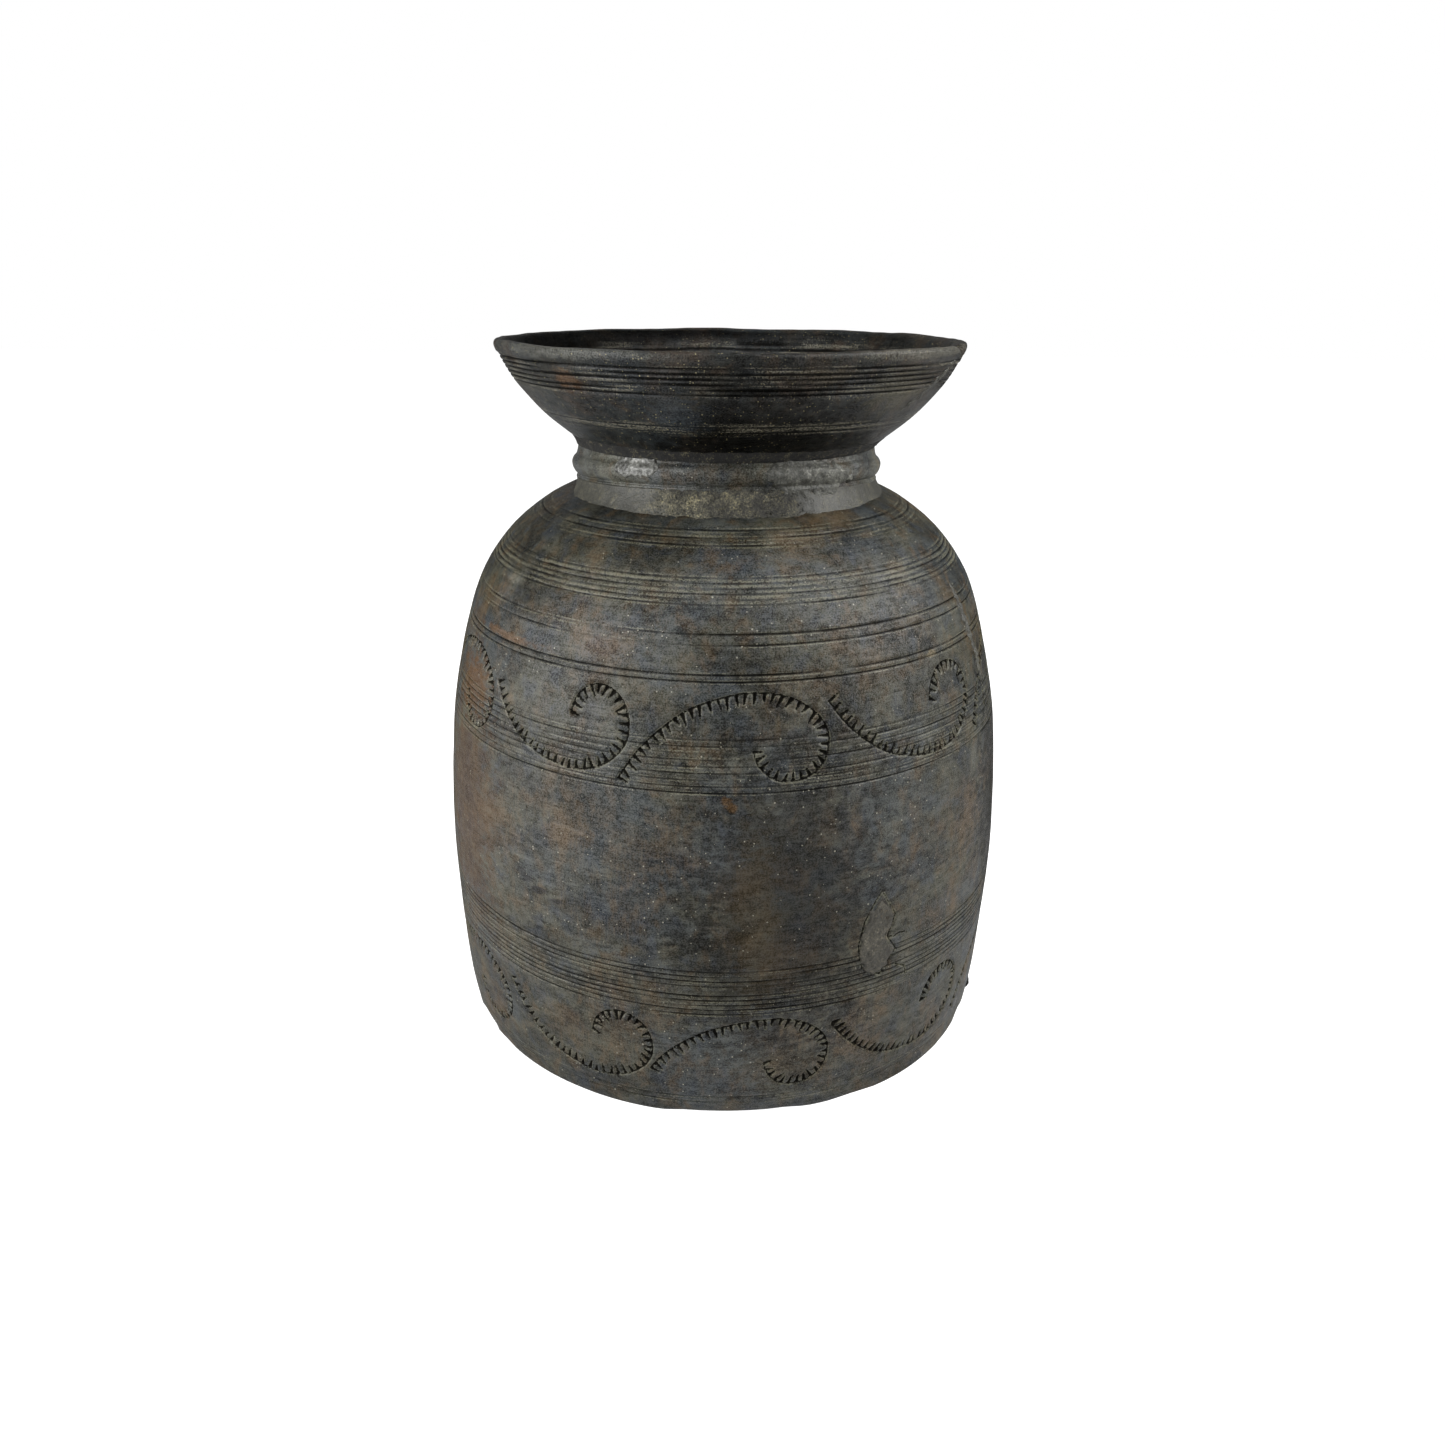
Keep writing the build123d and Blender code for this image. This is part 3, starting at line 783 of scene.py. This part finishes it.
def storeMarks(piece, depthAt, ridgeAt, hollowShadeAt):
    # marks how deep in a turned line, how near one, and how far inside the pot each point lies, which sets
    # its painted shade
    points = [vert.co for vert in piece.data.vertices]
    angles = [math.degrees(math.atan2(at.x, -at.y)) for at in points]
    marks = {
        "turned": [min(1.0, depthAt(angle, at.z / mm)) for angle, at in zip(angles, points)],
        "ridge": [ridgeAt(angle, at.z / mm) for angle, at in zip(angles, points)],
        "hollowShade": [hollowShadeAt(math.hypot(at.x, at.y) / mm, at.z / mm) for at in points],
        "carveDistance": [5.0] * len(points),
    }
    for name, values in marks.items():
        piece.data.attributes.new(name, "FLOAT", "POINT").data.foreach_set("value", values)


def nearLine(lines):
    # up to 1 at the edges of the turned lines, fading a little beyond them and where they were rubbed away
    def ridgeAt(angle, height):
        closest, middle = min((abs(abs(height - middle) - width / 2), middle) for middle, width,
            _ in lines)
        rubbed = 0.85 + 0.6 * drift(angle, middle * mm, 38 * mm, 51)
        return max(0.0, 1 - closest / 0.65) * min(1.0, max(0.0, rubbed))
    return ridgeAt


bellyShell = makeObject("bellyShell", *buildBelly(), bellyWood)
storeMarks(bellyShell, lambda angle, height: lineDepth(angle, height) / 0.6, nearLine(turnedLines),
           lambda radius, height: float(radius < bellyAt(height) - 12 or height < 0.01))
scrollGuide = lineObject("scrollGuide", scrollLines, scrollBoldness)
crackGuide = lineObject("crackGuide", crackLines, [1.0] * len(crackLines))
applyNodes(bellyShell, carvingTree(), {
    "Scrolls": scrollGuide, "Cracks": crackGuide, "Line width": 0.85 * mm, "Line depth": 1.1 * mm,
    "Notch length": 5.6 * mm, "Notch width": 1.3 * mm, "Notch depth": 1.3 * mm, "Notch spacing": 4.4 * mm,
    "Crack depth": 0.9 * mm, "Finish": bellyWood})
for guide in (scrollGuide, crackGuide):
    bpy.data.objects.remove(guide)
turnOutwards(bellyShell)
finishPiece(bellyShell, "belly_shell")
print("belly:", len(bellyShell.data.vertices), "points")


# The collar.

collar = {
    "shift": 1.0, "middle": 316.4, "tilt": 4.0,  # mm, mm, degrees
    "side": [(82.0, -20), (82.0, -10), (82.3, -7.4), (81.7, -6.2), (83.0, -4.6), (84.1, -2), (84.3, 0.6),
             (83.4, 2.8), (81.9, 4.4), (81.2, 6.5), (80.8, 10), (80.9, 18)],
    "columns": 260,
}
collarSide = smoothLine(collar["side"], 5)


def collarAt(height):
    return float(np.interp(height, collarSide[:, 1], collarSide[:, 0]))


collarWood = blackenedWood("collarBlackenedTurnedWood", collarLook, [], collarAt)


def collarPoint(angle, radius, height):
    # the collar stands tipped back: its front is raised
    at = around(angle, radius * mm, height * mm)
    at.rotate(Euler((math.radians(-collar["tilt"]), 0, 0)))
    return at + Vector((collar["shift"] * mm, 0, collar["middle"] * mm))


def buildCollar():
    outline = [(60, -30), (73, -30), (73, -21)] + [tuple(p) for p in collarSide]
    outline += [(77, 18), (71.2, 12), (71.2, -8), (60, -8), (60, -30)]

    def place(angle, radius, height, step):
        if radius > 78:
            radius += 0.3 * drift(angle, height * mm, 22 * mm, 11) + 0.12 * drift(angle, height * mm,
                5 * mm, 12)
        return collarPoint(angle, radius, height)

    return latheRings(outline, collar["columns"], place)


neckCollar = makeObject("neckCollar", *buildCollar(), collarWood)
turnOutwards(neckCollar)
storeMarks(neckCollar, lambda angle, height: 0.0, lambda angle, height: 0.0, lambda radius,
    height: float(radius < 70))
finishPiece(neckCollar, "neck_collar")
print("collar ready")


# The bowl.

bowl = {
    "outside": [(79.5, 329.0), (83.5, 331.4), (88.0, 334.5), (101.0, 345.4), (113.4, 359.9),
        (119.8, 370.7),
                (121.4, 374.6)],
    "lip": [(122.6, 375.6), (123.4, 377.6), (123.6, 379.4), (122.8, 380.7), (121.2, 381.0),
    (118.6, 380.6),
            (116.4, 379.6), (115.0, 378.0)],
    "inside": [(112, 372), (107, 365.5), (95, 354), (76, 341), (62, 334), (58, 330), (58, 315)],
    # the first two marks are painted shade: near black under the bowl
    "marks": [(10, 345, 50, 20, "#060605", 0.9), (10, 335, 70, 9, "#050504", 0.9),
    (-40, 366, 8, 7, "#5b3f22", 0.6),
              (-14, 352, 16, 13, "#363b3f", 0.6), (44, 362, 24, 13, "#4b4738", 0.65),
              (-60, 362, 26, 8, "#38372e", 0.4),
              # the second mark here and the mark below are painted highlights on the lip, left and right of
              # the front
              (22, 370, 15, 4, "#5d5546", 0.5), (-42, 379, 60, 4, "#5d5d57", 0.6),
              (50, 379, 50, 4, "#5f5d54", 0.65)],
    "columns": 300,
    "lines": [(373.3 - 2.3 * line, 1.4, 1.0) for line in range(6)] + [(346.4, 1.0, 0.35),
    (343.6, 1.0, 0.3)],
}
bowlSide = smoothLine(bowl["outside"], 60)


def bowlAt(height):
    return float(np.interp(height, bowlSide[:, 1], bowlSide[:, 0]))


bowlWood = blackenedWood("bowlBlackenedTurnedWood", bowlLook, bowl["marks"], bowlAt, (bowlCentre, 0))


def bowlLineDepth(angle, height):
    depth = 0.0
    for number, (middle, width, deep) in enumerate(bowl["lines"]):
        away = abs(height - middle)
        if away < width / 2:
            fade = 0.7 + 1.1 * drift(angle, middle * mm, 60 * mm, number * 0.2 + 20)
            depth = max(depth, deep * min(1.1, max(0.05, fade)) * (1 - 2 * away / width))
    return depth


def buildBowl():
    levels = {329.0, 331.4, 334.5, 374.6}
    for middle, width, _ in bowl["lines"]:
        levels |= {middle - width / 2, middle, middle + width / 2}
    ordered = sorted(levels)
    for low, high in zip(ordered, ordered[1:]):
        gaps = math.ceil((high - low) / 2.2)
        levels |= {low + (high - low) * step / gaps for step in range(1, gaps)}
    outline = [(71, 315), (71, 329)] + [(bowlAt(height), height) for height in sorted(levels)]
    outer = len(outline)
    outline += [tuple(p) for p in smoothLine(bowl["lip"],
        2)] + [tuple(p) for p in smoothLine(bowl["inside"], 4)]
    outline += [(71, 315)]

    def place(angle, radius, height, step):
        if 2 <= step < outer:
            radius -= bowlLineDepth(angle, height)
        if radius > 75:
            radius += 0.3 * drift(angle, height * mm, 38 * mm, 15) + 0.12 * drift(angle, height * mm,
                8 * mm, 16)
        if height > 350:
            lift = smoothstep(350, 381, height)
            height += lift * (0.9 * drift(angle, 0, 55 * mm, 17) + 0.25 * drift(angle, 0, 14 * mm,
                18) - 0.5)
            # the splintered end of the crack
            height -= 2.6 * lift * math.exp(-((angle - 68) / 2.2) ** 2)
        return around(angle, radius * mm, height * mm, (bowlCentre, 0))

    return latheRings(outline, bowl["columns"], place)


mouthBowl = makeObject("mouthBowl", *buildBowl(), bowlWood)
storeMarks(mouthBowl, lambda angle, height: bowlLineDepth(angle, height) / 0.5 if height < 375 else 0.0,
           nearLine(bowl["lines"]), lambda radius,
           height: smoothstep(2.5, 6, 121 - radius - max(0, 378 - height) * 0.9))
turnOutwards(mouthBowl)
finishPiece(mouthBowl, "mouth_bowl")
print("bowl ready")


# The fillers and the mends.

def grainTree():
    # scatters small broken grains over a surface, half sunk in it
    tree = bpy.data.node_groups.new("scatterGrains", "GeometryNodeTree")
    for name, kind in (("Surface", "NodeSocketGeometry"), ("Per area", "NodeSocketFloat"),
                       ("Largest", "NodeSocketFloat"), ("Raw side", "NodeSocketVector"),
                       ("Seed", "NodeSocketInt"),
                       ("Finish", "NodeSocketMaterial")):
        tree.interface.new_socket(name, in_out="INPUT", socket_type=kind)
    tree.interface.new_socket("Grainy", in_out="OUTPUT", socket_type="NodeSocketGeometry")
    given = addNode(tree, "NodeGroupInput").outputs
    points = addNode(tree, "GeometryNodeDistributePointsOnFaces", None,
                     {"Mesh": given["Surface"], "Density": given["Per area"],
                     "Seed": given["Seed"]}).outputs[0]
    grain = addNode(tree, "GeometryNodeMeshIcoSphere", None,
        {"Radius": 1.0, "Subdivisions": 1}).outputs[0]
    share = addNode(tree, "FunctionNodeRandomValue", {"data_type": "FLOAT_VECTOR"},
                    {0: (0.25, 0.25, 0.2), 1: (1.0, 1.0, 0.7), "Seed": given["Seed"]}).outputs[0]
    size = addNode(tree, "ShaderNodeVectorMath", {"operation": "SCALE"},
        {0: share, "Scale": given["Largest"]}).outputs[0]
    here = addNode(tree, "GeometryNodeInputPosition").outputs[0]
    flat = addNode(tree, "ShaderNodeVectorMath", {"operation": "MULTIPLY"},
        {0: here, 1: (1, 1, 0)}).outputs[0]
    level = addNode(tree, "ShaderNodeVectorMath", {"operation": "NORMALIZE"}, {0: flat}).outputs[0]
    facing = addNode(tree, "ShaderNodeVectorMath", {"operation": "DOT_PRODUCT"},
        {0: level, 1: given["Raw side"]})
    rawness = addNode(tree, "ShaderNodeMapRange", None,
                      {"Value": facing.outputs["Value"], "From Min": 0.82, "From Max": 0.95,
                      "To Min": 0.15,
                       "To Max": 1.0}).outputs[0]
    size = addNode(tree, "ShaderNodeVectorMath", {"operation": "SCALE"},
        {0: size, "Scale": rawness}).outputs[0]
    turn = addNode(tree, "FunctionNodeRandomValue", {"data_type": "FLOAT_VECTOR"},
                   {0: (0, 0, 0), 1: (6.28, 6.28, 6.28), "Seed": given["Seed"]}).outputs[0]
    grains = addNode(tree, "GeometryNodeInstanceOnPoints", None,
                     {"Points": points, "Instance": grain, "Rotation": turn, "Scale": size}).outputs[0]
    joined = addNode(tree, "GeometryNodeJoinGeometry")
    tree.links.new(given["Surface"], joined.inputs[0])
    tree.links.new(grains, joined.inputs[0])
    whole = addNode(tree, "GeometryNodeRealizeInstances", None,
        {"Geometry": joined.outputs[0]}).outputs[0]
    painted = addNode(tree, "GeometryNodeSetMaterial", None,
        {"Geometry": whole, "Material": given["Finish"]}).outputs[0]
    addNode(tree, "NodeGroupOutput", None, {"Grainy": painted})
    return tree


grains = grainTree()


def footFillerPoint(angle, share):
    # share runs from the shoulder (0) up to the collar (1), then back inside the wood
    turn = math.radians(angle)
    cover = smoothstep(-1, -0.75, -abs((angle - 10 + 180) % 360 - 180) / 100)
    top = collar["middle"] - 8.0 + math.sin(math.radians(collar["tilt"])) * 83 * math.cos(turn)
    if share > 1:
        inner, height = (80, top) if share < 1.5 else (84, 298)
        return around(angle, inner * mm, height * mm, (collar["shift"] * mm / 2, 0))
    raw = math.exp(-((angle - 2 + 180) % 360 - 180) ** 2 / 900)
    foot = 82.6 + cover * (bellyAt(301.4) - 82.6 + (0.3 + 0.8 * raw) * drift(angle, 0, 17 * mm, 31))
    rise = max(0.6, top - 300.2)
    radius = 82.6 + (foot - 82.6) * (1 - share) ** 2 + 0.7 * math.sin(share * math.pi) - 2 * (1 - cover)
    height = 300.4 + rise * share
    lumps = (0.2 + 0.5 * raw) * drift(angle, height * mm, 9 * mm, 32) + 0.5 * raw * drift(angle,
        height * mm, 2.4 * mm, 33)
    return around(angle, (radius + lumps) * mm, (height + 0.4 * lumps) * mm,
        (collar["shift"] * mm * 0.6, 0))


def ringPiece(name, columns, shares, point, material):
    verts, faces = [], []
    for share in shares:
        verts += [point(360 * column / columns, share) for column in range(columns)]
    for row in range(len(shares)):
        nextRow = (row + 1) % len(shares)
        for column in range(columns):
            after = (column + 1) % columns
            faces.append((row * columns + column, row * columns + after,
                          nextRow * columns + after, nextRow * columns + column))
    return makeObject(name, verts, faces, material)


fillerShares = [step / 18 for step in range(19)] + [1.2, 1.8]
collarFootFiller = ringPiece("collarFootFiller", 520, fillerShares, footFillerPoint, jointMastic)
turnOutwards(collarFootFiller)
applyNodes(collarFootFiller, grains,
    {"Per area": 110000.0, "Largest": 0.95 * mm, "Raw side": (0.05, -1, 0), "Seed": 3,
    "Finish": jointMastic})
finishPiece(collarFootFiller, "collar_foot_filler")


def pitchPoint(angle, share):
    # black pitch in the angle between the collar and the bowl
    if share > 1:
        return around(angle, 78 * mm, 330 * mm, (bowlCentre, 0))
    radius = 81.4 + 4.9 * share ** 1.4
    height = 327.4 + 6.6 * share - 0.5 * math.sin(share * math.pi)
    lumps = 0.45 * drift(angle, height * mm, 9 * mm, 41) + 0.3 * drift(angle, height * mm, 2.6 * mm, 42)
    return around(angle, (radius + 0.3 + lumps) * mm, height * mm, (bowlCentre * (0.4 + 0.6 * share), 0))


bowlJointFiller = ringPiece("bowlJointFiller", 360, [step / 8 for step in range(9)] + [1.5], pitchPoint,
    pitch)
turnOutwards(bowlJointFiller)
finishPiece(bowlJointFiller, "bowl_joint_filler")


def depthInside(outline, across, up):
    # signed distance to a closed outline, positive inside, in the outline's own units
    inside, nearest = False, 1e9
    for (x0, y0), (x1, y1) in zip(outline, outline[1:] + outline[:1]):
        if (y0 > up) != (y1 > up) and across < (x1 - x0) * (up - y0) / (y1 - y0) + x0:
            inside = not inside
        span = (x1 - x0) ** 2 + (y1 - y0) ** 2
        t = min(1, max(0, ((across - x0) * (x1 - x0) + (up - y0) * (y1 - y0)) / span))
        nearest = min(nearest, math.hypot(across - x0 - t * (x1 - x0), up - y0 - t * (y1 - y0)))
    return nearest if inside else -nearest


def patchOn(name, outline, radius, point, look, material):
    # a thin patch that follows a surface: outline is angle and height; point(angle, height, proud) places it
    perDegree = math.radians(1) * radius
    flat = [(angle * perDegree, height) for angle, height in outline]
    soft = [tuple(p) for p in smoothLine(flat + flat[:1], 4)[:-1]]
    step = look["step"]
    west = min(x for x, _ in soft) - 2
    south = min(y for _, y in soft) - 2
    columns = math.ceil((max(x for x, _ in soft) + 2 - west) / step)
    rows = math.ceil((max(y for _, y in soft) + 2 - south) / step)
    top, bottom = {}, {}
    verts, faces = [], []
    for column in range(columns + 1):
        for row in range(rows + 1):
            across, up = west + column * step, south + row * step
            ragged = look["ragged"] * noise.noise(Vector((across / 3.1, up / 3.1, look["seed"])))
            deep = depthInside(soft, across, up) + ragged - look["inset"]
            if deep < -1.2 * step:
                continue
            lumps = look["lumps"] * noise.noise(
                Vector((across / look["lump"], up / look["lump"], look["seed"] + 5)))
            proud = -0.7 + (look["proud"] + 0.7) * smoothstep(-step, look["edge"],
                deep) + lumps * smoothstep(0, 1, deep)
            angle = across / perDegree
            top[column, row] = len(verts)
            verts.append(point(angle, up, proud))
            bottom[column, row] = len(verts)
            verts.append(point(angle, up, -1.8))
    edges = {}
    for column in range(columns):
        for row in range(rows):
            cell = [(column, row), (column + 1, row), (column + 1, row + 1), (column, row + 1)]
            if not all(key in top for key in cell):
                continue
            faces.append(tuple(top[key] for key in cell))
            faces.append(tuple(bottom[key] for key in reversed(cell)))
            for first, second in zip(cell, cell[1:] + cell[:1]):
                edges[first, second] = edges.get((first, second), 0) + 1
    for (first, second) in edges:
        if (second, first) not in edges:
            faces.append((top[second], top[first], bottom[first], bottom[second]))
    piece = makeObject(name, verts, faces, material)
    work = bmesh.new()
    work.from_mesh(piece.data)
    bmesh.ops.delete(work, geom=[v for v in work.verts if not v.link_faces], context="VERTS")
    work.to_mesh(piece.data)
    work.free()
    turnOutwards(piece)
    return piece


def onCollar(angle, height, proud):
    return collarPoint(angle, collarAt(height) + proud, height)


def onBelly(angle, height, proud):
    return around(angle, (bellyAt(height) + bellySwell(angle) + proud) * mm, height * mm)


def onBowl(angle, height, proud):
    return around(angle, (bowlAt(min(height, 374.6)) + proud + max(0, height - 374.6) * 0.25) * mm,
        height * mm, (bowlCentre, 0))


smear = {"step": 0.6, "ragged": 1.6, "lumps": 0.35, "lump": 3.0, "proud": 0.75, "edge": 1.6, "inset": 0,
         "seed": 1.5}
collarPatchLeft = patchOn(
    "collarPatchLeft", [(-42, -1), (-40, 6), (-33, 9.5), (-26, 8), (-24, 1), (-30, -2.5), (-37, -3)], 84,
    onCollar,
    {**smear, "lumps": 0.6, "lump": 2.2, "edge": 0.7}, silverPaint)
finishPiece(collarPatchLeft, "collar_patch_left")
collarPatchRight = patchOn(
    "collarPatchRight", [(13, 3), (15, -4), (20, -10), (30, -12.5), (42, -11), (50, -4), (46, 3), (37, 5),
    (31, 9),
                         (21, 10)], 84, onCollar, {**smear, "ragged": 4.2, "lumps": 0.7, "seed": 8.5},
                         greyFiller)
finishPiece(collarPatchRight, "collar_patch_right")
bellyPatch = patchOn(
    "bellyPatch", [(29.6, 125.5), (26.6, 112), (25.4, 97), (26.2, 84), (30.2, 78), (33.6, 90), (31.4, 99),
    (33.0, 111)],
    161, onBelly, {**smear, "ragged": 2.0, "lumps": 0.45, "lump": 2.4, "proud": 0.3, "edge": 0.7,
    "inset": 1.2, "seed": 3.5}, leafPatch)
finishPiece(bellyPatch, "belly_patch")
shoulderCrackFill = patchOn(
    "shoulderCrackFill", [(61.0, 262), (62.4, 263), (64.4, 243), (66.4, 226), (67.0, 210), (65.6, 210),
    (64.4, 226),
                          (62.0, 242)], 141, onBelly,
    {**smear, "step": 0.45, "ragged": 1.4, "lumps": 1.0, "lump": 1.8, "proud": 0.25, "edge": 0.8,
    "seed": 6.5},
    jointMastic)
finishPiece(shoulderCrackFill, "shoulder_crack_fill")
bowlCrackFill = patchOn(
    "bowlCrackFill", [(66.5, 376), (70.5, 376), (66.5, 369), (60.0, 361), (53.0, 351), (51.0, 351.5),
    (57.0, 363),
                      (63.0, 371)], 115, onBowl,
    {**smear, "step": 0.45, "ragged": 1.4, "lumps": 1.1, "lump": 2.0, "proud": 0.3, "edge": 0.9,
    "seed": 9.5},
    jointMastic)
finishPiece(bowlCrackFill, "bowl_crack_fill")


def buildLump():
    work = bmesh.new()
    bmesh.ops.create_icosphere(work, subdivisions=4, radius=3.6 * mm)
    centre = around(73, 156.6 * mm, 9.5 * mm)
    for vert in work.verts:
        vert.co *= 1 + 0.3 * noise.noise(vert.co / (2.2 * mm))
        vert.co += centre
    mesh = bpy.data.meshes.new("resinLump")
    work.to_mesh(mesh)
    work.free()
    mesh.materials.append(pitch)
    mesh.shade_smooth()
    piece = bpy.data.objects.new("resinLump", mesh)
    bpy.context.scene.collection.objects.link(piece)
    return piece


finishPiece(buildLump(), "resin_lump")
print("fillers and mends ready")


# The floor, the lights and the camera.

studio = {
    "distance": 676.3, "aimHeight": 160.6, "pitch": 21.7, "roll": 0.45,  # mm, mm, degrees, degrees
    "lens": 27.9,
    "world": 0.18, "left": 21.5, "right": 21.5, "top": 12.0, "floorGlow": 0.97,
}


def makeStudio():
    floor = makeObject("paleFloor", [(-6, -6, 0), (6, -6, 0), (6, 6, 0), (-6, 6, 0)], [(0, 1, 2, 3)],
                       bpy.data.materials.new("matteFloorPaint"))
    paint = floor.data.materials[0]
    paint.use_nodes = True
    tree = paint.node_tree
    base = tree.nodes["Principled BSDF"]
    base.inputs["Base Color"].default_value = linear("#cfcfcf")
    base.inputs["Roughness"].default_value = 0.9
    # the floor is lit again from below, as a light table is, so that it meets the backdrop without a seam
    seen = addNode(tree, "ShaderNodeLightPath").outputs["Is Camera Ray"]
    strength = addNode(tree, "ShaderNodeMath", {"operation": "MULTIPLY"},
        {0: seen, 1: studio["floorGlow"]}).outputs[0]
    glow = addNode(tree, "ShaderNodeEmission", None,
        {"Color": (1, 1, 1, 1), "Strength": strength}).outputs[0]
    both = addNode(tree, "ShaderNodeAddShader", None, {0: base.outputs[0], 1: glow}).outputs[0]
    addNode(tree, "ShaderNodeOutputMaterial", {"is_active_output": True}, {"Surface": both})

    world = bpy.data.worlds.new("studioWorld")
    bpy.context.scene.world = world
    world.use_nodes = True
    tree = world.node_tree
    tree.nodes.clear()
    seen = addNode(tree, "ShaderNodeLightPath").outputs["Is Camera Ray"]
    backdrop = addNode(tree, "ShaderNodeBackground", None,
        {"Color": (1, 1, 1, 1), "Strength": 1.0}).outputs[0]
    glow = addNode(tree, "ShaderNodeBackground", None,
        {"Color": (1, 1, 1, 1), "Strength": studio["world"]}).outputs[0]
    either = addNode(tree, "ShaderNodeMixShader", None, {0: seen, 1: glow, 2: backdrop}).outputs[0]
    addNode(tree, "ShaderNodeOutputWorld", None, {"Surface": either})

    target = Vector((0, 0, 0.2))
    for name, place, width, height, power in (
            ("leftSoftbox", (-1.2, -0.66, 0.55), 0.6, 1.0, studio["left"]),
            ("rightSoftbox", (1.15, -0.3, 0.95), 0.7, 0.9, studio["right"]),
            ("topSoftbox", (0.0, -0.5, 1.7), 1.6, 1.6, studio["top"])):
        lamp = bpy.data.lights.new(name, "AREA")
        lamp.shape, lamp.size, lamp.size_y, lamp.energy = "RECTANGLE", width, height, power
        light = bpy.data.objects.new(name, lamp)
        light.location = place
        light.rotation_euler = (target - Vector(place)).to_track_quat("-Z", "Y").to_euler()
        bpy.context.scene.collection.objects.link(light)

    pitchTurn = math.radians(studio["pitch"])
    lens = bpy.data.cameras.new("camera")
    lens.lens, lens.sensor_width = studio["lens"], 36
    camera = bpy.data.objects.new("camera", lens)
    aim = Vector((0, 0, studio["aimHeight"] * mm))
    away = studio["distance"] * mm
    camera.location = aim + Vector((0, -away * math.cos(pitchTurn), away * math.sin(pitchTurn)))
    looking = (aim - camera.location).to_track_quat("-Z", "Y").to_matrix()
    camera.rotation_euler = (looking @ Matrix.Rotation(math.radians(studio["roll"]), 3, "Z")).to_euler()
    bpy.context.scene.collection.objects.link(camera)
    bpy.context.scene.camera = camera
    bpy.context.scene.view_settings.view_transform = "Standard"


makeStudio()
print("studio ready")
